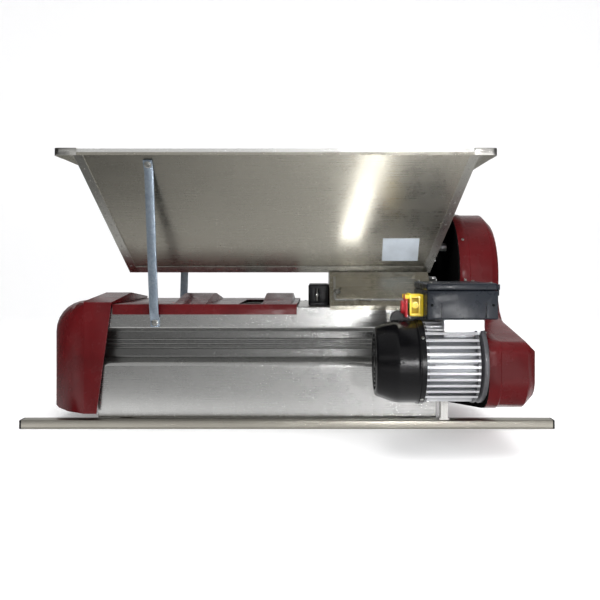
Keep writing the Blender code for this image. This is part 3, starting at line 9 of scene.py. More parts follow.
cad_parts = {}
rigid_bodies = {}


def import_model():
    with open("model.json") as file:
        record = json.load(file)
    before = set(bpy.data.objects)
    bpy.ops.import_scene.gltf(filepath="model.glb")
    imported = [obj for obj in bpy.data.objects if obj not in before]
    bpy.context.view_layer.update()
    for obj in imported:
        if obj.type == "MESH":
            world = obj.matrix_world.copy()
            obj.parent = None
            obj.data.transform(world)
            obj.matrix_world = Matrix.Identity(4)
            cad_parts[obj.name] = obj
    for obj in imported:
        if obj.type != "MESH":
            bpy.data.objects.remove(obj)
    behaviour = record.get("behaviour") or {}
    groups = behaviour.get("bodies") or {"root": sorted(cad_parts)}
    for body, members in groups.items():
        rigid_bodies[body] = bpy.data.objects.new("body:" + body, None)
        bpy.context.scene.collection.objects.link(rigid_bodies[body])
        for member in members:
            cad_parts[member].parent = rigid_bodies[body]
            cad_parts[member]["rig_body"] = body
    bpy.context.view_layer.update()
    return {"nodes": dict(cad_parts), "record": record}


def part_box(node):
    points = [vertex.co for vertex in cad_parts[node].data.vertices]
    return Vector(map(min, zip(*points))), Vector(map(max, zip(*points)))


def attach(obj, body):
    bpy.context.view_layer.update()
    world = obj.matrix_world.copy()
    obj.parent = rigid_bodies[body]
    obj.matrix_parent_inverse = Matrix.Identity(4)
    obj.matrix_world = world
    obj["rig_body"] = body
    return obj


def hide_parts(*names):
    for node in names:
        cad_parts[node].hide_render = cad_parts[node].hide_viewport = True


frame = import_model()
nodes = frame["nodes"]
slotOf = {part["node"]: part["material_slot"] for part in frame["record"]["subparts"]}
print("frame loaded:", len(nodes), "pieces")


# Places and small shared helpers


def boxOf(node):
    low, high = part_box(node)
    return np.array(low), np.array(high)


hopperLow, hopperHigh = boxOf("hopper_front_wall")[0], boxOf("hopper_rear_wall")[1]
midY = (hopperLow[1] + hopperHigh[1]) / 2  # the machine's middle plane


def midOf(node):
    low, high = boxOf(node)
    return (low + high) / 2


def addNode(tree, kind, inputs=None, **settings):
    node = tree.nodes.new(kind)
    for name, value in settings.items():
        setattr(node, name, value)
    for key, value in (inputs or {}).items():
        if isinstance(value, bpy.types.NodeSocket):
            tree.links.new(value, node.inputs[key])
        else:
            node.inputs[key].default_value = value
    return node


def startGroup(name, inputs, outputs):
    group = bpy.data.node_groups.new(name, "ShaderNodeTree")
    for label, kind, value in inputs:
        socket = group.interface.new_socket(label, in_out="INPUT", socket_type=kind)
        socket.default_value = value
    for label, kind in outputs:
        group.interface.new_socket(label, in_out="OUTPUT", socket_type=kind)
    return group, group.nodes.new("NodeGroupInput").outputs, group.nodes.new("NodeGroupOutput").inputs


def objectCoords(tree):
    return addNode(tree, "ShaderNodeTexCoord").outputs["Object"]


def mapRange(tree, value, fromLow, fromHigh, toLow, toHigh):
    inputs = {"Value": value, "From Min": fromLow, "From Max": fromHigh, "To Min": toLow, "To Max": toHigh}
    return addNode(tree, "ShaderNodeMapRange", inputs).outputs["Result"]


def mathOf(tree, operation, first, second=0.0):
    node = addNode(tree, "ShaderNodeMath", {0: first, 1: second}, operation=operation)
    return node.outputs["Value"]


def mixColour(tree, share, first, second, blend="MIX"):
    inputs = {"Factor": share, 6: first, 7: second}
    return addNode(tree, "ShaderNodeMix", inputs, data_type="RGBA", blend_type=blend).outputs[2]


# Effects that several finishes share


def makeGrainGroup():
    # Noise drawn out by a stretch along each axis, for brushed and turned metal
    group, given, result = startGroup(
        "brushedGrain", [("Stretch", "NodeSocketVector", (1, 1, 1))], [("Grain", "NodeSocketFloat")]
    )
    place = addNode(group, "ShaderNodeMapping", {"Vector": objectCoords(group), "Scale": given["Stretch"]})
    noise = addNode(
        group, "ShaderNodeTexNoise",
        {"Vector": place.outputs["Vector"], "Scale": 1.0, "Detail": 6.0, "Roughness": 0.7},
    )
    group.links.new(noise.outputs[0], result["Grain"])
    return group


def makeCloudGroup():
    # Slow blotches between two values, for handling marks and uneven gloss
    group, given, result = startGroup(
        "slowClouds",
        [
            ("Scale", "NodeSocketFloat", 8.0),
            ("Low", "NodeSocketFloat", 0.0),
            ("High", "NodeSocketFloat", 1.0),
        ],
        [("Value", "NodeSocketFloat")],
    )
    noise = addNode(
        group, "ShaderNodeTexNoise",
        {"Vector": objectCoords(group), "Scale": given["Scale"], "Detail": 5.0, "Roughness": 0.6},
    )
    spread = mapRange(group, noise.outputs[0], 0.35, 0.65, given["Low"], given["High"])
    group.links.new(spread, result["Value"])
    return group


def makeEdgeWearAndHighlightGroup():
    # A mask of the outer edges, broken up by noise: where a rounded normal turns away from the flat one.
    # It places edge wear, and painted edge highlights
    group, given, result = startGroup(
        "edgeWearAndHighlight",
        [("Radius", "NodeSocketFloat", 0.001), ("Scale", "NodeSocketFloat", 120.0)],
        [("Mask", "NodeSocketFloat")],
    )
    rounded = addNode(group, "ShaderNodeBevel", {"Radius": given["Radius"]}, samples=4)
    flat = addNode(group, "ShaderNodeNewGeometry")
    dot = addNode(
        group, "ShaderNodeVectorMath",
        {0: rounded.outputs["Normal"], 1: flat.outputs["Normal"]}, operation="DOT_PRODUCT",
    )
    edge = mapRange(group, dot.outputs["Value"], 0.99, 0.86, 0.0, 1.0)
    noise = addNode(
        group, "ShaderNodeTexNoise", {"Vector": objectCoords(group), "Scale": given["Scale"], "Detail": 4.0}
    )
    broken = mapRange(group, noise.outputs[0], 0.42, 0.62, 0.0, 1.0)
    group.links.new(mathOf(group, "MULTIPLY", edge, broken), result["Mask"])
    return group


def makeDustGroup():
    # A thin film where a surface faces up, thicker where slow noise is high
    group, given, result = startGroup(
        "restingDust",
        [("Amount", "NodeSocketFloat", 0.3), ("Scale", "NodeSocketFloat", 18.0)],
        [("Mask", "NodeSocketFloat")],
    )
    normal = addNode(group, "ShaderNodeNewGeometry").outputs["Normal"]
    facing = addNode(group, "ShaderNodeSeparateXYZ", {0: normal})
    upward = mapRange(group, facing.outputs["Z"], 0.35, 1.0, 0.0, 1.0)
    noise = addNode(
        group, "ShaderNodeTexNoise", {"Vector": objectCoords(group), "Scale": given["Scale"], "Detail": 6.0}
    )
    drift = mapRange(group, noise.outputs[0], 0.35, 0.7, 0.3, 1.0)
    amount = mathOf(group, "MULTIPLY", mathOf(group, "MULTIPLY", upward, drift), given["Amount"])
    group.links.new(amount, result["Mask"])
    return group


def makeStippleGroup():
    # A fine height for powder coat, cast skin and moulded plastic
    group, given, result = startGroup(
        "fineStipple", [("Scale", "NodeSocketFloat", 700.0)], [("Height", "NodeSocketFloat")]
    )
    fine = addNode(
        group, "ShaderNodeTexNoise",
        {"Vector": objectCoords(group), "Scale": given["Scale"], "Detail": 3.0, "Roughness": 0.55},
    )
    group.links.new(fine.outputs[0], result["Height"])
    return group


grainGroup = makeGrainGroup()
cloudGroup = makeCloudGroup()
edgeWearAndHighlightGroup = makeEdgeWearAndHighlightGroup()
dustGroup = makeDustGroup()
stippleGroup = makeStippleGroup()


def fillGroup(tree, group, inputs):
    node = tree.nodes.new("ShaderNodeGroup")
    node.node_tree = group
    for label, value in inputs.items():
        if isinstance(value, bpy.types.NodeSocket):
            tree.links.new(value, node.inputs[label])
        else:
            node.inputs[label].default_value = value
    return node


def newMaterial(name):
    material = bpy.data.materials.new(name)
    material.use_nodes = True
    tree = material.node_tree
    return material, tree, tree.nodes["Principled BSDF"]


def bumpInto(tree, shader, height, strength, distance):
    bump = addNode(tree, "ShaderNodeBump", {"Height": height, "Strength": strength, "Distance": distance})
    tree.links.new(bump.outputs["Normal"], shader.inputs["Normal"])


# Brushed, turned and plated metals

stainlessLook = {
    "light": (0.64, 0.63, 0.60, 1),
    "dark": (0.58, 0.57, 0.54, 1),
    "coarse": 5.0,  # grain cycles in a metre along the brushing
    "fine": 2600.0,  # and across it
    "smooth": 0.24,
    "rough": 0.31,
    "anisotropic": 0.45,
    "scratch": 0.035,
    "edge": None,  # heights over which the tone turns to a painted highlight along the top edge
    # the pale tone of that painted highlight
    "worn": (0.95, 0.95, 0.93, 1),
    "inset": None,  # depths from the middle between which painted shade in a recess turns to the open tone
    "shade": 0.48,
    "shoulder": (0.217, 0.225),  # heights over which the recess ends
}


def stainless(name, along, look=stainlessLook, **change):
    # Sheet brushed along one axis: streaks, uneven gloss and faint blotches from handling; optionally a
    # painted highlight band along the top and painted shade in a recess
    look = {**look, **change}
    material, tree, shader = newMaterial(name)
    stretch = [look["coarse"] if axis == along else look["fine"] for axis in "XYZ"]
    grain = fillGroup(tree, grainGroup, {"Stretch": stretch}).outputs["Grain"]
    streak = mapRange(tree, grain, 0.3, 0.7, 0.0, 1.0)
    blotch = fillGroup(tree, cloudGroup, {"Scale": 6.0, "Low": -0.12, "High": 0.12}).outputs["Value"]
    colour = mixColour(tree, mathOf(tree, "ADD", streak, blotch), look["dark"], look["light"])
    place = addNode(tree, "ShaderNodeSeparateXYZ", {0: objectCoords(tree)})
    # Painted highlight: above the given heights the sheet turns pale, for the bright line along the rim
    if look["edge"]:
        rimHighlight = mapRange(tree, place.outputs["Z"], *look["edge"], 0.0, 1.0)
        colour = mixColour(tree, rimHighlight, colour, look["worn"])
    # Painted shade: the back of a recess is darkened, up to the shoulder where the recess ends
    if look["inset"]:
        depth = mathOf(tree, "ABSOLUTE", mathOf(tree, "SUBTRACT", place.outputs["Y"], midY))
        shade = mapRange(tree, depth, *look["inset"], look["shade"], 1.0)
        above = mapRange(tree, place.outputs["Z"], *look["shoulder"], 0.0, 1.0)
        colour = mixColour(tree, mathOf(tree, "MAXIMUM", shade, above), (0.0, 0.0, 0.0, 1), colour)
    tree.links.new(colour, shader.inputs["Base Color"])
    marks = fillGroup(tree, cloudGroup, {"Scale": 22.0, "Low": -0.015, "High": 0.025}).outputs["Value"]
    gloss = mapRange(tree, streak, 0.0, 1.0, look["smooth"], look["rough"])
    tree.links.new(mathOf(tree, "ADD", gloss, marks), shader.inputs["Roughness"])
    shader.inputs["Metallic"].default_value = 1.0
    shader.inputs["Anisotropic"].default_value = look["anisotropic"]
    axis = [1.0 if name == along else 0.0 for name in "XYZ"]
    across = addNode(
        tree, "ShaderNodeVectorMath",
        {0: addNode(tree, "ShaderNodeNewGeometry").outputs["Normal"], 1: axis}, operation="CROSS_PRODUCT",
    )
    tree.links.new(across.outputs["Vector"], shader.inputs["Tangent"])
    bumpInto(tree, shader, grain, look["scratch"], 0.0004)
    return material


galvanisedLook = {
    "pale": (0.36, 0.42, 0.49, 1),
    "blue": (0.25, 0.31, 0.38, 1),
    "flake": 380.0,  # flakes in a metre
    "smooth": 0.34,
    "rough": 0.46,
}


def galvanised(name, look=galvanisedLook):
    # Zinc flakes: each cell has its own tone and gloss, with a fine grey bloom over them
    material, tree, shader = newMaterial(name)
    cells = addNode(tree, "ShaderNodeTexVoronoi", {"Vector": objectCoords(tree), "Scale": look["flake"]})
    tone = addNode(tree, "ShaderNodeSeparateColor", {0: cells.outputs["Color"]}).outputs[0]
    bloom = fillGroup(tree, cloudGroup, {"Scale": 90.0, "Low": -0.2, "High": 0.3}).outputs["Value"]
    colour = mixColour(tree, mathOf(tree, "ADD", tone, bloom), look["blue"], look["pale"])
    tree.links.new(colour, shader.inputs["Base Color"])
    gloss = mapRange(tree, tone, 0.0, 1.0, look["smooth"], look["rough"])
    tree.links.new(gloss, shader.inputs["Roughness"])
    shader.inputs["Metallic"].default_value = 0.85
    bumpInto(tree, shader, fillGroup(tree, stippleGroup, {"Scale": 900.0}).outputs["Height"], 0.12, 0.0004)
    return material


def turnedSteel(name, colour, smooth=0.22, rough=0.42, along="X"):
    # Turning marks: fine rings across the axis, with an oily unevenness
    material, tree, shader = newMaterial(name)
    stretch = [2600.0 if axis == along else 6.0 for axis in "XYZ"]
    grain = fillGroup(tree, grainGroup, {"Stretch": stretch}).outputs["Grain"]
    ring = mapRange(tree, grain, 0.3, 0.7, 0.0, 1.0)
    dark = (colour[0] * 0.7, colour[1] * 0.7, colour[2] * 0.68, 1)
    tree.links.new(mixColour(tree, ring, dark, (*colour, 1)), shader.inputs["Base Color"])
    oil = fillGroup(tree, cloudGroup, {"Scale": 30.0, "Low": smooth, "High": rough}).outputs["Value"]
    tree.links.new(oil, shader.inputs["Roughness"])
    shader.inputs["Metallic"].default_value = 1.0
    bumpInto(tree, shader, grain, 0.12, 0.0002)
    return material


castLook = {
    "pale": (0.80, 0.80, 0.82, 1),
    "grey": (0.66, 0.67, 0.69, 1),
    "worn": (0.95, 0.95, 0.96, 1),
    # the painted shade deep between the fins
    "deep": (0.33, 0.34, 0.36, 1),
    "fins": (0.0690, 0.0770),  # distances from the axis over which the painted shade between the fins fades from darkest to none
    "smooth": 0.34,
    "rough": 0.50,
}


# A dark copy of the cast finish, painted shade for the motor's flange and end rings
castInPaintedShadeLook = {
    **castLook,
    "pale": (0.16, 0.16, 0.17, 1),
    "grey": (0.10, 0.10, 0.11, 1),
    "worn": (0.3, 0.3, 0.3, 1),
}


def castAluminium(name, axis=None, look=castLook):
    # Bright cast skin: sandy stipple, grey in the low spots and brighter along the worn edges. With an axis
    # (y, z), painted shade darkens what lies deep between the fins
    material, tree, shader = newMaterial(name)
    blotch = fillGroup(tree, cloudGroup, {"Scale": 35.0, "Low": 0.2, "High": 1.0}).outputs["Value"]
    colour = mixColour(tree, blotch, look["grey"], look["pale"])
    wearAndHighlight = fillGroup(tree, edgeWearAndHighlightGroup, {"Radius": 0.0012, "Scale": 160.0}).outputs["Mask"]
    colour = mixColour(tree, mathOf(tree, "MULTIPLY", wearAndHighlight, 0.6), colour, look["worn"])
    # Painted shade between the fins: darker nearer the motor's axis
    if axis is not None:
        inputs = {0: objectCoords(tree), 1: (0, *axis)}
        place = addNode(tree, "ShaderNodeVectorMath", inputs, operation="SUBTRACT")
        flat = addNode(
            tree, "ShaderNodeVectorMath", {0: place.outputs["Vector"], 1: (0, 1, 1)}, operation="MULTIPLY"
        )
        reach = addNode(tree, "ShaderNodeVectorMath", {0: flat.outputs["Vector"]}, operation="LENGTH")
        depth = mapRange(tree, reach.outputs["Value"], *look["fins"], 0.0, 1.0)
        colour = mixColour(tree, depth, look["deep"], colour)
    tree.links.new(colour, shader.inputs["Base Color"])
    gloss = mapRange(tree, blotch, 0.0, 1.0, look["rough"], look["smooth"])
    tree.links.new(gloss, shader.inputs["Roughness"])
    shader.inputs["Metallic"].default_value = 0.75
    bumpInto(tree, shader, fillGroup(tree, stippleGroup, {"Scale": 520.0}).outputs["Height"], 0.22, 0.0006)
    return material


# Paint, plastic and rubber


coatedLook = {
    "shift": 0.18,  # how far the tone drifts to either side
    # spread of the edge mask, which paints wear and edge highlights
    "wearAndHighlightRadius": 0.0014,
    "wearAndHighlightScale": 140.0,
    "wearShare": 0.6,
    "dustTone": (0.42, 0.40, 0.37, 1),
}


def coated(name, colour, gloss, bump, scale, worn=None, dust=0.12, shine=0.5, look=coatedLook):
    # Powder coat or moulded plastic: tone drift, stipple, edges lightened as wear and as a painted edge
    # highlight, and a little dust on top
    material, tree, shader = newMaterial(name)
    drift = fillGroup(tree, cloudGroup, {"Scale": 9.0, "Low": 0.0, "High": 1.0}).outputs["Value"]
    deep = tuple(channel * (1 - look["shift"]) for channel in colour) + (1,)
    pale = tuple(min(1.0, channel * (1 + look["shift"])) for channel in colour) + (1,)
    base = mixColour(tree, drift, deep, pale)
    if worn is not None:
        wearAndHighlight = fillGroup(tree, edgeWearAndHighlightGroup, {"Radius": look["wearAndHighlightRadius"], "Scale": look["wearAndHighlightScale"]})
        share = mathOf(tree, "MULTIPLY", wearAndHighlight.outputs["Mask"], look["wearShare"])
        base = mixColour(tree, share, base, (*worn, 1))
    film = fillGroup(tree, dustGroup, {"Amount": dust, "Scale": 18.0}).outputs["Mask"]
    base = mixColour(tree, film, base, look["dustTone"])
    tree.links.new(base, shader.inputs["Base Color"])
    smear = fillGroup(tree, cloudGroup, {"Scale": 26.0, "Low": gloss - 0.05, "High": gloss + 0.07})
    rough = mathOf(tree, "ADD", smear.outputs["Value"], mathOf(tree, "MULTIPLY", film, 0.5))
    tree.links.new(rough, shader.inputs["Roughness"])
    shader.inputs["Specular IOR Level"].default_value = shine
    bumpInto(tree, shader, fillGroup(tree, stippleGroup, {"Scale": scale}).outputs["Height"], bump, 0.0005)
    return material


def sheet(name, along, light, dark, **change):
    return stainless(name, along, light=(*light, 1), dark=(*dark, 1), **change)


finishes = {
    "sheetX": stainless("stainlessBrushedAlongX", "X"),
    # the tub's sheet carries painted shade in its recess
    "tub": sheet("tubSheet", "X", (0.56, 0.56, 0.55), (0.49, 0.49, 0.48), inset=(0.1156, 0.1200)),
    # The hopper's front and rear walls are toned darker and warmer as a painted reflection of dim
    # surroundings, and carry a painted highlight along the rim
    "hopperX": sheet("hopperSheetPaintedLightX", "X", (0.46, 0.44, 0.38), (0.41, 0.39, 0.335), edge=(0.6050, 0.6070)),
    "crusher": sheet("crusherSheet", "X", (0.35, 0.33, 0.28), (0.30, 0.285, 0.24)),
    "leg": sheet("legBar", "Z", (0.66, 0.65, 0.63), (0.60, 0.59, 0.57)),
    "hopperY": sheet("hopperSheetY", "Y", (0.56, 0.55, 0.51), (0.50, 0.49, 0.45)),
    "hopperLip": sheet("hopperLipSheet", "X", (0.60, 0.59, 0.55), (0.54, 0.53, 0.49)),
    "hopperDot": sheet("spotWeld", "X", (0.46, 0.45, 0.42), (0.38, 0.37, 0.35)),
    "auger": stainless("augerFlight", "Y", rough=0.36),
    "stainlessZ": stainless("stainlessBrushedAlongZ", "Z"),
    "rail": sheet("railTube", "X", (0.42, 0.40, 0.35), (0.32, 0.30, 0.26), rough=0.40),
    "zinc": galvanised("zincPlatedBar"),
    "steel": turnedSteel("machinedSteel", (0.46, 0.46, 0.47)),
    "roller": turnedSteel("rollerCasting", (0.36, 0.36, 0.37), 0.35, 0.5),
    "chain": turnedSteel("oiledChain", (0.20, 0.19, 0.18), 0.3, 0.45),
    "bolt": turnedSteel("platedBolt", (0.62, 0.62, 0.60), 0.18, 0.34, "Z"),
    "cast": castAluminium("castAluminium"),
    "castInPaintedShade": castAluminium("castingInPaintedShade", None, castInPaintedShadeLook),
    # the housing's finish has painted shade between its fins
    "finned": castAluminium("finnedAluminium", tuple(midOf("fan_cover")[1:])),
    # the red's pale pink edge tone is mostly a painted highlight along its folds and edges
    "red": coated(
        "wineRedPowderCoat", (0.080, 0.0046, 0.0060), 0.24, 0.14, 650.0, (0.42, 0.13, 0.15), 0.012, 0.18
    ),
    "black": coated("blackPowderCoat", (0.004, 0.004, 0.004), 0.70, 0.2, 600.0, (0.02, 0.02, 0.02), 0.0, 0.0),
    "plastic": coated(
        "blackMouldedPlastic", (0.008, 0.008, 0.009), 0.34, 0.12, 900.0, (0.02, 0.02, 0.02), 0.01, 0.18
    ),
    "fan": coated(
        "fanCoverPlastic", (0.003, 0.003, 0.0035), 0.21, 0.06, 900.0, (0.01, 0.01, 0.01), 0.0, 0.24
    ),
    "slate": coated(
        "slateBoxPlastic", (0.0085, 0.0108, 0.0155), 0.29, 0.16, 800.0, (0.07, 0.08, 0.10), 0.006, 0.30
    ),
    "yellow": coated("yellowPlastic", (0.86, 0.62, 0.03), 0.30, 0.08, 700.0, None, 0.03),
    # a darker copy of the yellow, painted shade for the switch's well
    "ochre": coated("yellowPlasticPaintedShade", (0.42, 0.27, 0.02), 0.4, 0.10, 700.0, None, 0.0),
    "redPlastic": coated("redPlastic", (0.42, 0.018, 0.025), 0.32, 0.10, 700.0, None, 0.06),
    "green": coated("greenPlastic", (0.03, 0.26, 0.07), 0.30, 0.10, 700.0, None, 0.0),
    "rubber": coated("blackRubber", (0.014, 0.014, 0.014), 0.72, 0.30, 500.0, None, 0.2),
    "foil": coated("blankFoilLabel", (0.50, 0.55, 0.60), 0.38, 0.03, 300.0, None, 0.0),
}
print("finishes made:", len(finishes))


# Meshes


def addPiece(name, mesh, material, body="root", slot=None, stands=(), smooth=35):
    piece = bpy.data.objects.new(name, mesh)
    bpy.context.scene.collection.objects.link(piece)
    mesh.materials.clear()
    mesh.materials.append(finishes[material])
    mesh.shade_smooth()
    if smooth is not None:
        mesh.set_sharp_from_angle(angle=math.radians(smooth))
    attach(piece, body)
    if stands:
        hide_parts(*stands)
        slot = slot or slotOf[stands[0]]
    return piece


def roundEdges(piece, width, segments=2, limit=30):
    bevel = piece.modifiers.new("roundedEdges", "BEVEL")
    bevel.width = width
    bevel.segments = segments
    bevel.limit_method = "ANGLE"
    bevel.angle_limit = math.radians(limit)
    bevel.harden_normals = True
    return piece


def gridShape(points, wrapRows=False, wrapColumns=False, flip=False):
    # Quads between neighbours of a (rows, columns, 3) grid of points
    rows, columns = points.shape[:2]
    index = np.arange(rows * columns).reshape(rows, columns)
    if wrapRows:
        index = np.vstack([index, index[:1]])
    if wrapColumns:
        index = np.hstack([index, index[:, :1]])
    faces = np.stack([index[:-1, :-1], index[:-1, 1:], index[1:, 1:], index[1:, :-1]], -1).reshape(-1, 4)
    if flip:
        faces = faces[:, ::-1]
    return points.reshape(-1, 3), faces.ravel(), np.full(len(faces), 4)


def latheShape(profile, count=32, closed=False):
    # A (radius, height) profile turned about Z: x = r cos t, y = r sin t, z = height
    radius, height = np.array(profile, float).T[:, :, None]
    turn = np.linspace(0, 2 * np.pi, count, endpoint=False)
    points = np.stack([radius * np.cos(turn), radius * np.sin(turn), height + 0 * turn], -1)
    flat, corners, sizes = gridShape(points, closed, True)
    if not closed:
        low, high = np.arange(count)[::-1], np.arange(len(flat) - count, len(flat))
        corners, sizes = np.concatenate([corners, low, high]), np.append(sizes, [count, count])
    return flat, corners, sizes


def boxShape(size, bend=0.0):
    # A block about the origin, its upright edges cut at 45 degrees by a bend
    x, y, z = np.array(size) / 2
    outline = [(x, -y + bend), (x, y - bend), (x - bend, y), (bend - x, y), (-x, y - bend), (-x, bend - y)]
    outline = np.array(outline + [(bend - x, -y), (x - bend, -y)])
    points = np.stack([np.column_stack([outline, np.full(8, level)]) for level in (-z, z)])
    flat, corners, sizes = gridShape(points, False, True)
    corners = np.concatenate([corners, np.arange(8)[::-1], np.arange(8, 16)])
    return flat, corners, np.append(sizes, [8, 8])


def placedShape(shape, place, normal=(0, 0, 1), spin=0.0):
    # The shape turned so that its Z faces along the normal, then moved
    turn = Vector(normal).to_track_quat("Z", "Y").to_matrix() @ Matrix.Rotation(spin, 3, "Z")
    return shape[0] @ np.array(turn).T + np.array(place), shape[1], shape[2]


def joinedShapes(shapes):
    starts = np.cumsum([0] + [len(points) for points, _, _ in shapes])
    corners = [part[1] + start for part, start in zip(shapes, starts)]
    points, sizes = [part[0] for part in shapes], [part[2] for part in shapes]
    return np.concatenate(points), np.concatenate(corners), np.concatenate(sizes)


def blockAt(place, size, bend=0.0):
    return placedShape(boxShape(size, bend), place)


def turnedAlongX(profile, place, count, closed=False):
    # A (radius, length) profile turned about the X axis
    return placedShape(latheShape(profile, count, closed), place, (1, 0, 0))


def wayAt(degrees):
    # The direction at an angle from Y towards Z
    return np.array((0, math.cos(math.radians(degrees)), math.sin(math.radians(degrees))))


def meshOf(name, shape):
    points, corners, sizes = shape
    mesh = bpy.data.meshes.new(name)
    mesh.vertices.add(len(points))
    mesh.vertices.foreach_set("co", points.astype(np.float32).ravel())
    mesh.loops.add(len(corners))
    mesh.loops.foreach_set("vertex_index", corners.astype(np.int32))
    mesh.polygons.add(len(sizes))
    mesh.polygons.foreach_set("loop_start", (np.cumsum(sizes) - sizes).astype(np.int32))
    mesh.update(calc_edges=True)
    return mesh


def addDetail(name, shapes, material, slot, smooth=None, body="root"):
    return addPiece(name, meshOf(name, joinedShapes(shapes)), material, body, slot, smooth=smooth)


def filletPath(points, reach, steps=6):
    # Each corner becomes a quadratic curve between two points that lie up to a reach from it
    points = np.array(points, float)
    share = np.linspace(0, 1, steps + 1)[:, None]
    path = [points[:1]]
    for before, here, after in zip(points[:-2], points[1:-1], points[2:]):
        back, ahead = before - here, after - here
        trim = min(reach, 0.45 * np.linalg.norm(back), 0.45 * np.linalg.norm(ahead))
        start = here + back * trim / np.linalg.norm(back)
        end = here + ahead * trim / np.linalg.norm(ahead)
        path.append((1 - share) ** 2 * start + 2 * share * (1 - share) * here + share**2 * end)
    path.append(points[-1:])
    return np.concatenate(path)


def bracedPath(points, near=0.0008):
    # Two more points close to the ends of each long straight run, so that its shading stays flat
    points = np.array(points, float)
    step = np.diff(points, axis=0)
    length = np.linalg.norm(step, axis=1, keepdims=True)
    way = step / np.maximum(length, 1e-9) * near
    rows = np.stack([points[:-1], points[:-1] + way, points[1:] - way], 1).reshape(-1, points.shape[1])
    keep = np.repeat(length[:, 0] > 4 * near, 3)
    keep[::3] = True
    return np.concatenate([rows[keep], points[-1:]])


def thicken(piece, thickness, offset=-1.0):
    wall = piece.modifiers.new("sheet", "SOLIDIFY")
    wall.thickness = thickness
    wall.offset = offset
    return piece


def mergedCopy(node, flat=0.6):
    # The CAD piece with its loose triangles joined and its flat faces made whole
    work = bmesh.new()
    work.from_mesh(nodes[node].data)
    bmesh.ops.remove_doubles(work, verts=work.verts, dist=0.000002)
    bmesh.ops.dissolve_limit(work, angle_limit=math.radians(flat), verts=work.verts, edges=work.edges)
    mesh = bpy.data.meshes.new(node)
    work.to_mesh(mesh)
    work.free()
    return mesh


def camelName(node):
    first, *rest = node.split("_")
    return first + "".join(word.capitalize() for word in rest)


plainPieces = {
    # Pieces whose CAD shape stays: finish, and how far their edges are rounded
    "hopper_front_wall": ("hopperX", 0.0004),
    "hopper_rear_wall": ("hopperX", 0.0004),
    "hopper_left_wall": ("hopperY", 0.0004),
    "hopper_right_wall": ("hopperY", 0.0004),
    "hopper_trough": ("sheetX", 0.0003),
    "tub_left_plate": ("stainlessZ", 0.0003),
    "tub_right_plate": ("stainlessZ", 0.0003),
    "tub_deck": ("sheetX", 0.0004),
    "crusher_frame": ("sheetX", 0.0003),
    "crusher_front_panel": ("crusher", 0.0004),
    "rail_front": ("rail", 0.0),
    "rail_rear": ("rail", 0.0),
    "cross_member_left": ("rail", 0.0),
    "cross_member_right": ("rail", 0.0),
    "rail_cap_front_left": ("plastic", 0.0008),
    "rail_cap_front_right": ("plastic", 0.0008),
    "rail_cap_rear_left": ("plastic", 0.0008),
    "rail_cap_rear_right": ("plastic", 0.0008),
    "rim_cap_front_left": ("sheetX", 0.0004),
    "rim_cap_front_right": ("sheetX", 0.0004),
    "rim_cap_rear_left": ("sheetX", 0.0004),
    "rim_cap_rear_right": ("sheetX", 0.0004),
    "strut_front": ("zinc", 0.0008),
    "strut_rear": ("zinc", 0.0008),
    "rating_plate": ("foil", 0.0),
    "top_cover": ("red", 0.0005),
    "stem_cover": ("red", 0.0006),
    "roller_bearing_block": ("plastic", 0.0006),
    "roller_front": ("roller", 0.0004),
    "roller_rear": ("roller", 0.0004),
    "roller_front_gear": ("steel", 0.0002),
    "roller_rear_gear": ("steel", 0.0002),
    "roller_sprocket": ("steel", 0.0),
    "auger_sprocket": ("steel", 0.0),
    "destemmer_shaft": ("sheetX", 0.0006),
    "destemmer_pulley": ("steel", 0.0005),
    "destemmer_sprocket": ("steel", 0.0),
    "bearing_hub": ("steel", 0.0006),
    "motor_housing": ("finned", 0.0006),
    # the flange takes the dark copy of the cast finish, painted shade
    "motor_flange": ("castInPaintedShade", 0.0008),
    "motor_shaft": ("steel", 0.0006),
    "motor_pulley": ("steel", 0.0005),
    "cooling_fan": ("plastic", 0.0004),
    "switch_box": ("slate", 0.0008),
    "switch_box_lid": ("slate", 0.0008),
    "power_inlet": ("plastic", 0.0004),
    "safety_switch": ("yellow", 0.0006),
    "stop_flap": ("redPlastic", 0.0006),
    "start_button": ("green", 0.0006),
    "v_belt": ("rubber", 0.0008),
    "crusher_chain": ("chain", 0.0004),
    "auger_chain": ("chain", 0.0004),
    "guard_back_plate": ("black", 0.0006),
    "guard_cover": ("red", 0.0006),
    "guard_leg": ("leg", 0.0004),
}


flatFinishes = ("hopperX", "hopperY", "crusher")  # folded sheet, whose faces stay flat up to their folds


def copyPlainPieces():
    for node, (finish, width) in plainPieces.items():
        smooth = 12 if finish in flatFinishes else None if width else 35
        body = nodes[node]["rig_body"]
        piece = addPiece(camelName(node), mergedCopy(node), finish, body, None, (node,), smooth)
        if width:
            roundEdges(piece, width)


copyPlainPieces()
print("plain pieces finished")


# Tub side panels: the section of the upper band, the recess with its beads and the lower panel

tubLook = {
    "recess": 0.035,
    "shoulder": 0.225,  # heights from the top down
    "recessTop": 0.217,
    "recessBottom": 0.155,
    "beads": (0.196, 0.187, 0.178),
    "beadRise": 0.0035,
    "beadHalf": 0.0040,
    "foot": 0.010,
    "lip": 0.014,
    "slope": (0.005, 0.007, 0.014),  # under the recess: how far in it starts, and the heights of its two ends
    "bend": 0.0045,
    "sheet": 0.0015,
}


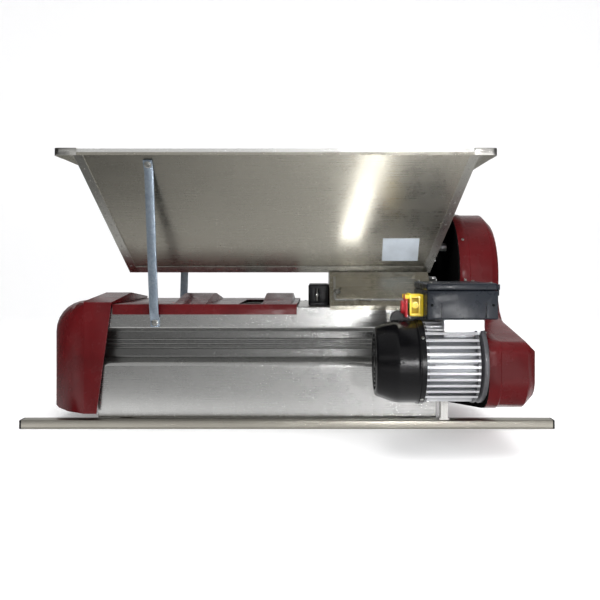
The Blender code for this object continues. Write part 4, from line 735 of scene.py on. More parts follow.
def makeTubPanel(node, side, look=tubLook):
    # The bent section swept along X; a bead's rise is the square of a cosine across it
    low, high = boxOf(node)
    half = max(midY - low[1], high[1] - midY)
    back = half - look["recess"]
    top, bottom = high[2], low[2]
    across = np.linspace(-1, 1, 13)
    rise = look["beadRise"] * np.cos(np.pi / 2 * across) ** 2
    beads = [np.stack([back + rise, z - look["beadHalf"] * across], -1) for z in look["beads"]]
    band = [(half, top), (half, look["shoulder"]), (back, look["recessTop"])]
    upper = filletPath([*band, beads[0][0]], look["bend"])
    inward, first, last = look["slope"]
    edge = [(half - inward, look["recessBottom"] - first), (half, look["recessBottom"] - last)]
    foot = [(half - look["foot"], bottom), (half - look["foot"] - look["lip"], bottom)]
    lower = filletPath([beads[-1][-1], (back, look["recessBottom"]), *edge, *foot], look["bend"])
    path = bracedPath(np.concatenate([upper[:-1], *beads, lower[1:]]))
    x = bracedPath([[low[0]], [high[0]]])[:, 0]
    y, z = midY + side * path[:, :1], path[:, 1:]
    points = np.stack(np.broadcast_arrays(x, y, z), -1)
    piece = addPiece(
        camelName(node), meshOf(node, gridShape(points, flip=side < 0)), "tub", "root", None, (node,), 28
    )
    thicken(piece, look["sheet"])


makeTubPanel("tub_front_panel", -1)
makeTubPanel("tub_rear_panel", 1)
print("tub panels finished")


# Fasteners

screwLook = {
    "panHead": [(1.0, 0.0), (1.0, 0.28), (0.93, 0.46), (0.72, 0.62), (0.40, 0.70)],
    "recess": (0.95, 0.22, 0.12),
    "recessHeight": 0.66,
    "hexHead": [(0.98, 0.0), (1.0, 0.06), (1.0, 0.52), (0.86, 0.62)],
    "washer": [(1.45, 0.0), (1.5, 0.04), (1.5, 0.12), (1.42, 0.16)],
}


def panScrew(radius, look=screwLook):
    # A domed head
    return latheShape(np.array(look["panHead"]) * radius, 24)


def crossRecess(radius, look=screwLook):
    # Two blocks across each other, at the top of a domed head
    bar = np.array(look["recess"]) * radius
    place = (0, 0, radius * look["recessHeight"])
    return joinedShapes([placedShape(boxShape(bar), place, spin=turn) for turn in (0, math.pi / 2)])


def hexBolt(radius, look=screwLook):
    # A six-sided head on a washer
    washer = latheShape(np.array(look["washer"]) * radius, 28)
    head = latheShape(np.array(look["hexHead"]) * radius, 6)
    return joinedShapes([washer, placedShape(head, (0, 0, radius * 0.15))])


def addFasteners(name, kind, radius, places, slot, finish="bolt"):
    # The same head at each (place, normal), in one piece, and for pan heads its dark recess
    make = {"hex": hexBolt, "pan": panScrew}[kind]
    shapes = [placedShape(make(radius), *spot, 0.4 * i) for i, spot in enumerate(places)]
    addDetail(name, shapes, finish, slot, 35)
    if kind == "pan":
        shapes = [placedShape(crossRecess(radius), *spot, 0.7 * i) for i, spot in enumerate(places)]
        addDetail(name + "Recess", shapes, "black", slot)


# The hopper's walls, as flat faces between their foot and their rim

hopperLook = {
    "foot": (-0.378, 0.336, 0.070, 0.350),  # left, right, half depth, height
    "rim": (-0.4594, 0.4194, 0.2285, 0.6120),
    "lipHeight": 0.013,
    "lipSheet": 0.0012,
    "lipRise": 0.0006,
    "lipInset": 0.021,
    "sunk": 0.0003,  # how deep a strip or a weld starts in its wall
}


def hopperAt(height, look=hopperLook):
    # Left, right and half depth at a height, on the straight line between the foot and the rim
    foot, rim = np.array(look["foot"]), np.array(look["rim"])
    share = (height - foot[3]) / (rim[3] - foot[3])
    return (foot + (rim - foot) * share)[:3]


_, _, footHalf, footHeight = hopperLook["foot"]
_, _, rimHalf, rimHeight = hopperLook["rim"]
hopperLean = math.atan2(rimHalf - footHalf, rimHeight - footHeight)
frontNormal = (0, -math.cos(hopperLean), -math.sin(hopperLean))
rearNormal = (0, math.cos(hopperLean), -math.sin(hopperLean))


def makeHopperLips(look=hopperLook):
    # A folded strip along the foot of each long wall
    low = footHeight + look["lipRise"]
    top = low + look["lipHeight"]
    for name, side in (("Front", -1), ("Rear", 1)):
        rows = []
        for z, out in ((low, 0.0), (low, 1.0), (top, 1.0), (top + look["lipSheet"], 0.0)):
            left, right, half = hopperAt(z)
            y = midY + side * (half + out * look["lipSheet"] / math.cos(hopperLean) - look["sunk"])
            rows.append([(left + look["lipInset"], y, z), (right - look["lipInset"], y, z)])
        strip = gridShape(np.array(rows), flip=side > 0)
        addDetail("hopperLip" + name, [strip], "hopperLip", "stainless", 20)


weldLook = {
    "dot": [(1.0, 0), (0.8, 0.16), (0.45, 0.22)],  # radius and height, over the dot's radius
    "radius": 0.0022,
    "heights": (0.365, 0.600, 0.0235),  # up the corners: first, end and step
    "inset": 0.010,
    "lipRow": (0.007, 0.0076),  # heights over the foot, of the wall measured and of the dots
    "lipEnds": (0.045, 0.030),
    "lipStep": 0.047,
}


def makeSpotWelds(look=weldLook):
    # Shallow dots along the corner strips and the foot of the front and rear walls
    dot = latheShape(np.array(look["dot"]) * look["radius"], 12)
    shapes = []
    for side, normal in ((-1, frontNormal), (1, rearNormal)):
        for height in np.arange(*look["heights"]):
            left, right, half = hopperAt(height)
            for x in (left + look["inset"], right - look["inset"]):
                shapes.append(placedShape(dot, (x, midY + side * half, height), normal))
        left, right, half = hopperAt(footHeight + look["lipRow"][0])
        outward = half + hopperLook["lipSheet"] / math.cos(hopperLean) - hopperLook["sunk"]
        for x in np.arange(left + look["lipEnds"][0], right - look["lipEnds"][1], look["lipStep"]):
            place = (x, midY + side * outward, footHeight + look["lipRow"][1])
            shapes.append(placedShape(dot, place, normal))
    addDetail("hopperSpotWelds", shapes, "hopperDot", "stainless", 35)


makeHopperLips()
makeSpotWelds()
print("hopper lips finished")


strutLook = {
    "rim": 0.584,  # height of the upper bolts, and how far they stand out from the hopper's wall
    "rimOut": 0.0045,
    "tub": 0.238,  # the same of the lower bolts, on the tub's side
    "tubOut": 0.0043,
    "bolt": 0.0052,
}


def makeStrutBolts(look=strutLook):
    low, high = boxOf("strut_front")
    x = (low[0] + high[0]) / 2
    rimOut = hopperAt(look["rim"])[2] + look["rimOut"] / math.cos(hopperLean)
    tubOut = midY - boxOf("tub_front_panel")[0][1] + look["tubOut"]
    places = [
        ((x, midY - rimOut, look["rim"]), frontNormal),
        ((x, midY - tubOut, look["tub"]), (0, -1, 0)),
        ((x, midY + rimOut, look["rim"]), rearNormal),
        ((x, midY + tubOut, look["tub"]), (0, 1, 0)),
    ]
    addFasteners("strutBolts", "hex", look["bolt"], places, "galvanised")


makeStrutBolts()


# Crusher front panel: an L-shaped bead, weld dots and a wing nut

panelLook = {
    "foot": (0.279, 0.1503),  # height and distance from the middle of the sloping face's foot
    "bend": (0.344, 0.0818),  # and of its upper end
    "bead": 0.0028,
    "beadRise": 0.0012,
    "beadInset": 0.012,
    "beadSpan": (0.93, 0.16),  # shares of the face's height
    "weld": 0.0018,
    "weldInset": 0.005,
    "weldShares": (0.1, 0.9, 6),
}
wingLook = {
    "washer": [(0.0075, 0), (0.0075, 0.0009)],
    "hub": [
        (0.0040, 0), (0.0040, 0.003), (0.0032, 0.0052), (0.0016, 0.0056), (0.0016, 0.0085), (0.0010, 0.0092),
    ],
    "leaf": [(0.0040, -0.0007), (0.0046, -0.0004), (0.0046, 0.0004), (0.0040, 0.0007)],
    "leafPlace": (0.0062, 0.0068),
    "inset": 0.018,
    "share": 0.42,
    "spin": 0.5,
}


def makePanelDetails(look=panelLook, wing=wingLook):
    low, high = boxOf("crusher_front_panel")
    (foot, footOut), (top, topOut) = look["foot"], look["bend"]
    slope = math.atan2(footOut - topOut, top - foot)
    normal = np.array((0, -math.cos(slope), math.sin(slope)))

    def onPanel(x, share):
        # share runs from the panel's foot to its bend
        return np.array((x, midY - (footOut + (topOut - footOut) * share), foot + (top - foot) * share))

    # The bead is a half-round strip along two straight runs: height = rise * cos of the place across it
    across = np.linspace(-1, 1, 9)
    rise = look["beadRise"] * np.cos(np.pi / 2 * across)
    left, right = low[0] + look["beadInset"], high[0] - look["beadInset"]
    upper, lower = look["beadSpan"]
    share = np.linspace(0, 1, 24)[:, None, None]
    shapes = []
    for start, end in (((left, upper), (left, lower)), ((left, lower), (right, lower))):
        first, last = onPanel(*start), onPanel(*end)
        aside = np.cross(normal, (last - first) / np.linalg.norm(last - first))
        section = (across * look["bead"])[None, :, None] * aside + rise[None, :, None] * normal
        shapes.append(gridShape(first + (last - first) * share + section, flip=True))
    addDetail("crusherPanelBead", shapes, "tub", "stainless", 60)

    dot = latheShape(np.array(weldLook["dot"]) * look["weld"], 12)
    shares = np.linspace(*look["weldShares"])
    dots = [placedShape(dot, onPanel(low[0] + look["weldInset"], share), normal) for share in shares]
    addDetail("crusherPanelWelds", dots, "hopperDot", "stainless", 35)

    # Wing nut: a washer, a hub and two rounded leaves
    out, up = wing["leafPlace"]
    leaf = latheShape(wing["leaf"], 24)
    leaves = [placedShape(leaf, (sign * out, 0, up), (0, 1, 0)) for sign in (-1, 1)]
    nut = joinedShapes([latheShape(wing["washer"], 28), latheShape(wing["hub"], 20), *leaves])
    place = onPanel(low[0] + wing["inset"], wing["share"])
    addDetail("wingNut", [placedShape(nut, place, normal, wing["spin"])], "bolt", "stainless", 35)


makePanelDetails()
print("crusher panel finished")


# Roller bearing block: threaded adjuster in its slot, and a ledge at its foot

def threadShape(radius, pitch, length, depth=0.12, perTurn=24):
    # A rod whose radius swings by a share of itself with the angle less the height over the pitch
    turns = length / pitch
    height = np.linspace(0, length, int(turns * 10))[:, None]
    turn = np.linspace(0, 2 * np.pi, perTurn, endpoint=False)[None, :]
    wave = 0.5 + 0.5 * np.cos(turn - 2 * np.pi * height / pitch)
    reach = radius * (1 - depth * wave)
    points = np.stack([reach * np.cos(turn), reach * np.sin(turn), height + 0 * turn], -1)
    flat, corners, sizes = gridShape(points, False, True)
    low, high = np.arange(perTurn)[::-1], np.arange(len(flat) - perTurn, len(flat))
    return flat, np.concatenate([corners, low, high]), np.append(sizes, [perTurn, perTurn])


blockLook = {
    "rod": (0.0028, 0.0012, 0.0300),  # radius, pitch and length of the thread
    "rodPlace": (-0.004, 0.0060),  # from the block's middle and from its front
    "rodFoot": 0.2820,
    "nut": [(0.0048, 0), (0.0050, 0.0004), (0.0050, 0.0042), (0.0044, 0.0050)],
    "nutFoot": 0.2950,
    "ledge": (0.004, 0.007, 0.006),  # how much narrower than the block, its depth and its height
    "ledgePlace": (0.0030, 0.0032),  # in front of the block and over its foot
    "bend": 0.0012,
    "round": 0.0008,
}


def makeBlockDetails(look=blockLook):
    low, high = boxOf("roller_bearing_block")
    middle = (low[0] + high[0]) / 2
    x, y = middle + look["rodPlace"][0], low[1] + look["rodPlace"][1]
    rod = placedShape(threadShape(*look["rod"]), (x, y, look["rodFoot"]))
    nut = placedShape(latheShape(look["nut"], 6), (x, y, look["nutFoot"]))
    addDetail("adjusterRod", [rod, nut], "bolt", "machined_steel", 35)
    narrower, depth, height = look["ledge"]
    out, up = look["ledgePlace"]
    size = (high[0] - low[0] - narrower, depth, height)
    ledge = blockAt((middle, low[1] - out, low[2] + up), size, look["bend"])
    roundEdges(addDetail("blockLedge", [ledge], "plastic", "black_plastic"), look["round"])


makeBlockDetails()


# Feed auger: a shaft and a flight whose outer edge is a helix

augerLook = {
    "shaft": 0.010,
    "shaftEnd": (0.0085, 0.0015),  # radius and length of the chamfer
    "reach": 0.055,
    "pitch": 0.095,
    "turns": 5,
    "sheet": 0.003,
    "start": 0.018,
    "steps": 72,
}


def makeAuger(look=augerLook):
    # Flight: x = start + pitch t / 2 pi, y = r cos t, z = r sin t
    low, high = boxOf("auger")
    middle = (low + high) / 2
    turn = np.linspace(0, 2 * np.pi * look["turns"], look["steps"] * look["turns"] + 1)[:, None]
    radius = np.linspace(look["shaft"] * 0.8, look["reach"], 6)[None, :]
    x = low[0] + look["start"] + look["pitch"] * turn / (2 * np.pi) + 0 * radius
    points = np.stack([x, middle[1] + radius * np.cos(turn), middle[2] + radius * np.sin(turn)], -1)
    body = nodes["auger"]["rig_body"]
    flight = addPiece("augerFlight", meshOf("flight", gridShape(points)), "auger", body, None, ("auger",))
    thicken(flight, look["sheet"], 0.0)
    length = high[0] - low[0]
    end, chamfer = look["shaftEnd"]
    profile = [(end, 0), (look["shaft"], chamfer), (look["shaft"], length - chamfer), (end, length)]
    shaft = turnedAlongX(profile, (low[0], middle[1], middle[2]), 40)
    addDetail("augerShaft", [shaft], "steel", slotOf["auger"], 35, body)


# Perforated trough: a half pipe between two rims, with staggered rows of round holes

troughLook = {
    "radius": 0.108,
    "axis": 0.160,
    "hole": 0.013,
    "pitch": 0.052,
    "angles": (207.0, 238.5, 270.0, 301.5, 333.0),
    "cell": 31.5,  # the angle from one row to the next
    "sheet": 0.0015,
    "around": 32,
}


def makeTrough(look=troughLook):
    # Round each hole, a ring from the circle out to its cell's rectangle: the share k runs from 0 on the
    # hole to 1 on the rectangle, in unrolled lengths (along, angle), and then bends round the axis
    low, high = boxOf("destemming_trough")
    left, right, rim = low[0], high[0], high[2] - look["sheet"] / 2
    radius, pitch = look["radius"], look["pitch"]
    halfCell = math.radians(look["cell"]) / 2 * radius
    count = int((right - left - 2 * pitch) / pitch) + 1
    first = (left + right - (count - 1) * pitch) / 2
    turn = np.linspace(0, 2 * np.pi, look["around"], endpoint=False) + np.pi / look["around"]
    circle = np.stack([np.cos(turn), np.sin(turn)], -1)
    reach = np.minimum(pitch / 2 / np.abs(circle[:, 0]), halfCell / np.abs(circle[:, 1]))
    corner = np.argsort(np.abs(np.abs(circle[:, 0]) * halfCell - np.abs(circle[:, 1]) * pitch / 2))[:4]
    edge = circle * reach[:, None]
    edge[corner] = np.sign(edge[corner]) * (pitch / 2, halfCell)
    share = np.linspace(0, 1, 5)[:, None, None]
    cell = look["hole"] * circle * (1 - share) + edge * share

    def bent(along, aside):
        angle = aside / radius
        points = [along, midY + radius * np.cos(angle), look["axis"] + radius * np.sin(angle)]
        return np.stack(np.broadcast_arrays(*points), -1)

    shapes = []
    for k, degrees in enumerate(look["angles"]):
        middle = math.radians(degrees) * radius
        shift = 0.5 * (k % 2)
        spots = first + (np.arange(count - k % 2) + shift) * pitch
        for x in spots:
            shapes.append(gridShape(bent(x + cell[..., 0], middle + cell[..., 1]), False, True, True))
        aside = np.linspace(middle - halfCell, middle + halfCell, 9)[:, None]
        for ends in ((left, spots[0] - pitch / 2), (spots[-1] + pitch / 2, right)):
            shapes.append(gridShape(bent(np.array(ends), aside)))
    edges = (look["angles"][0] - look["cell"] / 2, look["angles"][-1] + look["cell"] / 2)
    for start, end in ((180.0, edges[0]), (edges[1], 360.0)):
        aside = np.radians(np.linspace(start, end, 7))[:, None] * radius
        shapes.append(gridShape(bent(np.array((left, right)), aside)))
    for side in (-1, 1):
        path = filletPath([(radius, look["axis"]), (radius, rim), (high[1] - midY, rim)], 0.003)
        x = np.array((left, right))
        points = np.stack(np.broadcast_arrays(x, midY + side * path[:, :1], path[:, 1:]), -1)
        shapes.append(gridShape(points, flip=side < 0))
    mesh = meshOf("trough", joinedShapes(shapes))
    piece = addPiece("destemmingTrough", mesh, "sheetX", "root", None, ("destemming_trough",))
    weld = piece.modifiers.new("joined", "WELD")
    weld.merge_threshold = 0.00002
    thicken(piece, look["sheet"])


makeAuger()
makeTrough()
print("auger and trough finished")


# Fan cover: a turned shell with a ring at its wide end and a grille at the other

fanLook = {
    "sheet": 0.002,
    "ring": 0.012,
    "ringRise": 0.002,
    "seamRise": 0.0001,
    "nose": [(0.0160, 0.0), (0.0130, 0.003), (0.0015, 0.036), (0.0, 0.041)],  # inside the radius, and length
    "bend": 0.0028,
    "grilleHoles": (0.012, 0.056),  # inner and outer radius of the open part
    "rings": 5,
    "spokes": 8,
    "bar": 0.0022,
    "barDepth": (0.0003, 0.0018),
    "spoke": (0.0014, 0.0012),  # depth, and where its middle lies
    "spokeTurn": 0.2,
    "seam": (0.0022, 0.0012),  # from the ring's edge, and width
    "screwAngles": (140, 232, 320, 52),
    "screwInset": 0.0055,
    "screwSunk": 0.0003,
    "screw": 0.0032,
}


def makeFanCover(look=fanLook):
    # The outer side is a profile turned about the motor's axis; the inner side lies one sheet inside it
    low, high = boxOf("fan_cover")
    middle = (low + high) / 2
    length = high[0] - low[0]
    rim = (high[2] - low[2]) / 2
    radius = rim - look["ringRise"]
    wide = rim - look["seamRise"]
    start = length - look["ring"]
    outside = [(look["grilleHoles"][1], 0.0)] + [(radius - inset, z) for inset, z in look["nose"]]
    outside += [(radius, start - look["ringRise"]), (wide, start), (wide, length)]
    outer = filletPath(outside, look["bend"], 6)
    inner = np.column_stack([outer[::-1, 0] - look["sheet"], outer[::-1, 1]])
    inner[:, 1] = np.clip(inner[:, 1], look["sheet"], length)
    profile = np.concatenate([outer, inner[:-1], [(look["grilleHoles"][1], look["sheet"])]])
    centre = (low[0], middle[1], middle[2])
    shell = turnedAlongX(profile, centre, 96, True)
    addPiece("fanCover", meshOf("fanCover", shell), "fan", "root", None, ("fan_cover",), 32)
    inset, width = look["seam"]
    seam = [(rim, 0), (rim, width), (radius, width), (radius, 0)]
    place = (high[0] - look["ring"] + inset, middle[1], middle[2])
    addDetail("fanCoverSeam", [turnedAlongX(seam, place, 96, True)], "black", "black_plastic", 35)

    bar, hole = look["bar"], look["grilleHoles"][0]
    near, far = look["barDepth"]
    spread = np.linspace(hole + bar / 2, look["grilleHoles"][1], look["rings"] + 1)
    shapes = []
    for reach in spread:
        inside, outside = reach - bar / 2, reach + bar / 2
        ring = [(inside, near), (outside, near), (outside, far), (inside, far)]
        shapes.append(turnedAlongX(ring, centre, 72, True))
    span = spread[-1] - spread[0]
    depth, level = look["spoke"]
    points, corners, sizes = boxShape((span, bar, depth))
    for turn in np.linspace(0, 2 * np.pi, look["spokes"], endpoint=False) + look["spokeTurn"]:
        # The bar laid flat in the Y-Z plane and turned: y = a cos t - b sin t, z = a sin t + b cos t
        along, aside = points[:, 0] + spread[0] + span / 2, points[:, 1]
        y = middle[1] + along * math.cos(turn) - aside * math.sin(turn)
        z = middle[2] + along * math.sin(turn) + aside * math.cos(turn)
        shapes.append((np.stack([low[0] + level + points[:, 2], y, z], -1), corners, sizes))
    shapes.append(turnedAlongX([(hole + bar, near), (hole + bar, far)], centre, 36))
    addDetail("fanCoverGrille", shapes, "fan", "black_plastic", 30)

    head = np.array((high[0] - look["screwInset"], middle[1], middle[2]))
    ways = [wayAt(degrees) for degrees in look["screwAngles"]]
    places = [(head + way * (rim - look["screwSunk"]), way) for way in ways]
    addFasteners("fanCoverScrews", "pan", look["screw"], places, "black_plastic")
    return middle, radius


motorMiddle, motorRadius = makeFanCover()
motorY, motorZ = motorMiddle[1], motorMiddle[2]
print("fan cover finished")


# Motor housing: end rings, flange bolts, mould lines, the seat under the switch box and the fins beside it

motorLook = {
    "ring": (0.006, 0.0005, 0.0045),  # inside the housing's radius: its inner and outer side; and its width
    "ringEnds": (0.0002, 0.0047),
    "boltAngles": (45, 135, 225, 315),
    "boltInset": 0.0085,
    "boltSunk": 0.0012,
    "bolt": 0.0040,
    "mould": (0.070, 0.0016, 0.0020),
    "mouldRise": 0.004,
    "seatLeft": 0.3085,
    "seatHalf": 0.0462,
    "seatFoot": 0.0565,
    "seatGaps": (0.0006, 0.0004),  # to the flange's right side and to the box
    "seatBend": 0.0012,
    "seatRound": 0.0008,
    "topFins": [(0.0665, 0.0440), (0.0722, 0.0340), (0.0778, 0.0175)],  # height over the axis, half width
    "finSheet": 0.0026,
    "finEnd": 0.0015,
    "rib": (0.012, 0.012),
    "ribHeight": 0.0720,
}


def makeMotorDetails(look=motorLook):
    low, high = boxOf("motor_housing")
    flangeLow, flangeHigh = boxOf("motor_flange")
    inner, outer, width = motorRadius - look["ring"][0], motorRadius - look["ring"][1], look["ring"][2]
    ring = [(inner, 0), (outer, 0), (outer, width), (inner, width)]
    ends = (low[0] + look["ringEnds"][0], high[0] - look["ringEnds"][1])
    rings = [turnedAlongX(ring, (x, motorY, motorZ), 96, True) for x in ends]
    # the end rings take the dark copy of the cast finish, painted shade
    addDetail("motorEndRings", rings, "castInPaintedShade", "aluminium", 30)

    head = np.array((flangeLow[0] + look["boltSunk"], motorY, motorZ))
    reach = motorRadius - look["boltInset"]
    places = [(head + wayAt(degrees) * reach, (-1, 0, 0)) for degrees in look["boltAngles"]]
    addFasteners("motorFlangeBolts", "hex", look["bolt"], places, "aluminium")

    x, z = (low[0] + high[0]) / 2, motorZ + look["mouldRise"]
    out = motorRadius - look["mould"][1] / 2
    lines = [blockAt((x, motorY + side * out, z), look["mould"]) for side in (-1, 1)]
    addDetail("motorMouldLine", lines, "cast", "aluminium")

    flangeGap, boxGap = look["seatGaps"]
    seatLow = (look["seatLeft"], motorY - look["seatHalf"], motorZ + look["seatFoot"])
    seatHigh = (flangeHigh[0] - flangeGap, motorY + look["seatHalf"], boxOf("switch_box")[0][2] - boxGap)
    seat = blockAt(np.add(seatHigh, seatLow) / 2, np.subtract(seatHigh, seatLow), look["seatBend"])
    roundEdges(addDetail("terminalSeat", [seat], "cast", "aluminium"), look["seatRound"])

    # Short level fins beside the seat, held by a rib on the housing's crown
    left, right = low[0] + look["finEnd"], seatLow[0]
    x, length = (left + right) / 2, right - left
    fins = [
        blockAt((x, motorY, motorZ + up), (length, 2 * half, look["finSheet"])) for up, half in look["topFins"]
    ]
    fins.append(blockAt((x, motorY, motorZ + look["ribHeight"]), (length, *look["rib"])))
    addDetail("motorTopFins", fins, "cast", "aluminium")


makeMotorDetails()


# Switch box, its lid and the safety switch

lidLook = {
    "screwInset": 0.0105,
    "screwSunk": 0.0002,
    "screw": 0.0036,
    "ridge": (0.0022, 0.050, 0.0010),  # width, how much shorter than the lid, height
    "ridgeRise": 0.0003,
    "ridgeEnds": 0.030,
    "ridges": 5,
    "catch": 0.016,  # from the lid's front
    # Each part of the catch: out from the side, down from the top, size and cut corners
    "catchParts": [
        (0.0030, 0.0075, (0.007, 0.016, 0.010), 0.0016),
        (0.0040, 0.0160, (0.0035, 0.010, 0.016), 0.0008),
    ],
    "bosses": (0.010, 0.009),  # from the left and the right side
    "bossPlace": (0.0012, 0.0275),  # out of the front, and down from the lid's foot
    "bossScrew": 0.0024,
}


def makeLidDetails(look=lidLook):
    low, high = boxOf("switch_box_lid")
    inset, top = look["screwInset"], high[2] - look["screwSunk"]
    spots = [(x, y) for x in (low[0] + inset, high[0] - inset) for y in (low[1] + inset, high[1] - inset)]
    heads = [((x, y, top), (0, 0, 1)) for x, y in spots]
    addFasteners("lidScrews", "pan", look["screw"], heads, "black_plastic")
    width, shorter, height = look["ridge"]
    size = (width, high[1] - low[1] - shorter, height)
    y, z = (low[1] + high[1]) / 2, high[2] + look["ridgeRise"]
    spots = np.linspace(low[0] + look["ridgeEnds"], high[0] - look["ridgeEnds"], look["ridges"])
    addDetail("lidRidges", [blockAt((x, y, z), size) for x in spots], "slate", "black_plastic")
    y = low[1] + look["catch"]
    parts = [
        blockAt((high[0] + out, y, high[2] - down), size, bend) for out, down, size, bend in look["catchParts"]
    ]
    addDetail("lidCatch", parts, "slate", "black_plastic")
    out, down = look["bossPlace"]
    spots = (low[0] + look["bosses"][0], high[0] - look["bosses"][1])
    heads = [((x, low[1] - out, low[2] - down), (0, -1, 0)) for x in spots]
    addFasteners("boxFrontScrews", "pan", look["bossScrew"], heads, "black_plastic", "black")


switchLook = {
    "aside": 0.0012,  # of the frame's middle from the switch's
    # Bars on both sides: size, and place from the frame's middle
    "bars": [((0.0205, 0.0030, 0.0034), (0, 0.0168)), ((0.0034, 0.0030, 0.0300), (0.0086, 0))],
    "barOut": 0.0008,
    "barBend": 0.0003,
    "disc": [(0.0068, 0.0), (0.0068, 0.0022), (0.0060, 0.0030), (0.0042, 0.0030), (0.0036, 0.0014)],
    "discPlace": (0, 0.0002, 0.0010),
    "well": (0.0136, 0.0010, 0.0300),
    "wellPlace": (0, -0.0002, 0),
    "wellBend": 0.0004,
    "gland": [(0.0150, -0.0070), (0.0160, -0.0060), (0.0160, 0.0060), (0.0150, 0.0070)],
    "glandPlace": (-0.0100, 0.030, -0.0060),  # from the switch's lower left front corner
    "rib": (0.0040, 0.0004, 0.0030),  # width, how much shorter than the switch, height
    "ribPlace": (0.0100, 0.0002),
    "ribBend": 0.0006,
    "flapRib": (0.0016, 0.004),  # thickness, and how much shorter than the flap
    "flapRibInset": 0.0046,
    "flapRibEnds": (0.0050, 0.0085),
    "flapRibs": 5,
    "nut": [(0.0150, 0), (0.0156, 0.0005), (0.0156, 0.0060), (0.0148, 0.0070)],
    "nutInset": 0.0072,
}


def makeSwitchDetails(look=switchLook):
    # Yellow frame and disc on the front, in front of a well painted darker yellow as shade
    low, high = boxOf("safety_switch")
    centre = np.array(((low[0] + high[0]) / 2 + look["aside"], low[1], (low[2] + high[2]) / 2))
    shapes = [
        blockAt(centre + (sign * x, -look["barOut"], sign * z), size, look["barBend"])
        for size, (x, z) in look["bars"] for sign in (-1, 1)
    ]
    shapes.append(placedShape(latheShape(look["disc"], 36), centre + look["discPlace"], (0, -1, 0)))
    addDetail("switchFrontFrame", shapes, "yellow", "yellow_plastic", 30)
    well = blockAt(centre + look["wellPlace"], look["well"], look["wellBend"])
    addDetail("switchFrontWell", [well], "ochre", "yellow_plastic")
    place = (low[0], low[1], low[2]) + np.array(look["glandPlace"])
    gland = placedShape(latheShape(look["gland"], 40), place, (0, 1, 0))
    addDetail("inletGland", [gland], "plastic", "black_plastic", 30)
    width, shorter, height = look["rib"]
    place = (low[0] + look["ribPlace"][0], (low[1] + high[1]) / 2, high[2] + look["ribPlace"][1])
    rib = blockAt(place, (width, high[1] - low[1] - shorter, height), look["ribBend"])
    addDetail("switchTopRib", [rib], "yellow", "yellow_plastic")

    low, high = boxOf("stop_flap")
    sheet, shorter = look["flapRib"]
    size = (sheet, high[1] - low[1] - shorter, sheet)
    x, y = high[0] - look["flapRibInset"], (low[1] + high[1]) / 2
    heights = np.linspace(low[2] + look["flapRibEnds"][0], high[2] - look["flapRibEnds"][1], look["flapRibs"])
    ribs = [blockAt((x, y, z), size) for z in heights]
    addDetail("flapRibs", ribs, "redPlastic", "red_plastic", None, nodes["stop_flap"]["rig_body"])

    # Nut on the inlet
    low, high = boxOf("power_inlet")
    middle = (low + high) / 2
    nut = turnedAlongX(look["nut"], (high[0] - look["nutInset"], middle[1], middle[2]), 6)
    addDetail("inletNut", [nut], "plastic", "black_plastic", 35)


makeLidDetails()
makeSwitchDetails()
print("controls finished")


shadowPlateLook = {"gap": 0.0004, "rise": 0.0006, "top": 0.378, "sheet": 0.002, "back": 0.112, "bend": 0.0004}


def makeShadowPlate(look=shadowPlateLook):
    # A plain black plate behind the shafts, from the crusher's end to the guard: painted shade for the dark
    # gap there
    left = boxOf("crusher_frame")[1][0] + look["gap"]
    right = boxOf("guard_back_plate")[0][0] - look["gap"]
    low, high = boxOf("tub_deck")[1][2] + look["rise"], look["top"]
    place = ((left + right) / 2, midY + look["back"], (low + high) / 2)
    plate = blockAt(place, (right - left, look["sheet"], high - low), look["bend"])
    addDetail("paintedShadowPlate", [plate], "black", "black_paint")


makeShadowPlate()


# Screws on the guard, the covers, the leg and the deck

fastenerLook = {
    "sunk": 0.0002,
    "guardInset": 0.011,
    # Arcs of the guard's edge: height of the centre, radius and angles of the screws
    "guardArcs": [(0.342, 0.151, (20, 62, 104, 146, 183)), (0.157, 0.127, (250, 300, 340))],
    "nose": (0.330, 0.2328, 99),  # in front of the middle, height, and angle of the way it faces
    "guardScrew": 0.0034,
    "hood": [(0.048, 0.062), (0.026, 0.190)],  # from the hood's right edge, and height
    "hoodBolt": 0.0040,
    "cover": (0.030, 0.200),  # from the cover's right edge
    "coverHeight": 0.2665,
    "coverScrew": 0.0030,
    "leg": (0.006, 0.006, 0.0047),
    "legBolt": 0.0042,
    "rivets": (0.030, 0.060),  # left of the crusher
    "rivetOut": 0.1475,
    "rivetRise": 0.0001,
    "rivet": 0.0022,
}


def makeCoverFasteners(look=fastenerLook):
    sunk = look["sunk"]
    band = boxOf("guard_cover")[0][0] + look["guardInset"]
    places = []
    for height, radius, angles in look["guardArcs"]:
        centre = np.array((band, midY, height))
        places += [(centre + wayAt(degrees) * (radius - sunk), wayAt(degrees)) for degrees in angles]
    front, height, degrees = look["nose"]
    places.append(((band, midY - front, height), wayAt(degrees)))
    addFasteners("guardScrews", "pan", look["guardScrew"], places, "red_paint")

    low, high = boxOf("stem_cover")
    places = [((high[0] - inset, high[1] - sunk, height), (0, 1, 0)) for inset, height in look["hood"]]
    addFasteners("hoodBolts", "pan", look["hoodBolt"], places, "red_paint")
    low, high = boxOf("top_cover")
    places = [((high[0] - inset, high[1] - sunk, look["coverHeight"]), (0, 1, 0)) for inset in look["cover"]]
    addFasteners("coverScrews", "pan", look["coverScrew"], places, "red_paint")
    low, high = boxOf("guard_leg")
    left, back, up = look["leg"]
    place = ((low[0] + high[0]) / 2 - left, high[1] - back, low[2] + up)
    addFasteners("legBolt", "hex", look["legBolt"], [(place, (0, 0, 1))], "stainless")
    end, top = boxOf("crusher_frame")[0][0], boxOf("tub_deck")[1][2] + look["rivetRise"]
    spots = [(end - along, midY + side * look["rivetOut"]) for along in look["rivets"] for side in (-1, 1)]
    heads = [((x, y, top), (0, 0, 1)) for x, y in spots]
    addFasteners("deckRivets", "pan", look["rivet"], heads, "stainless")


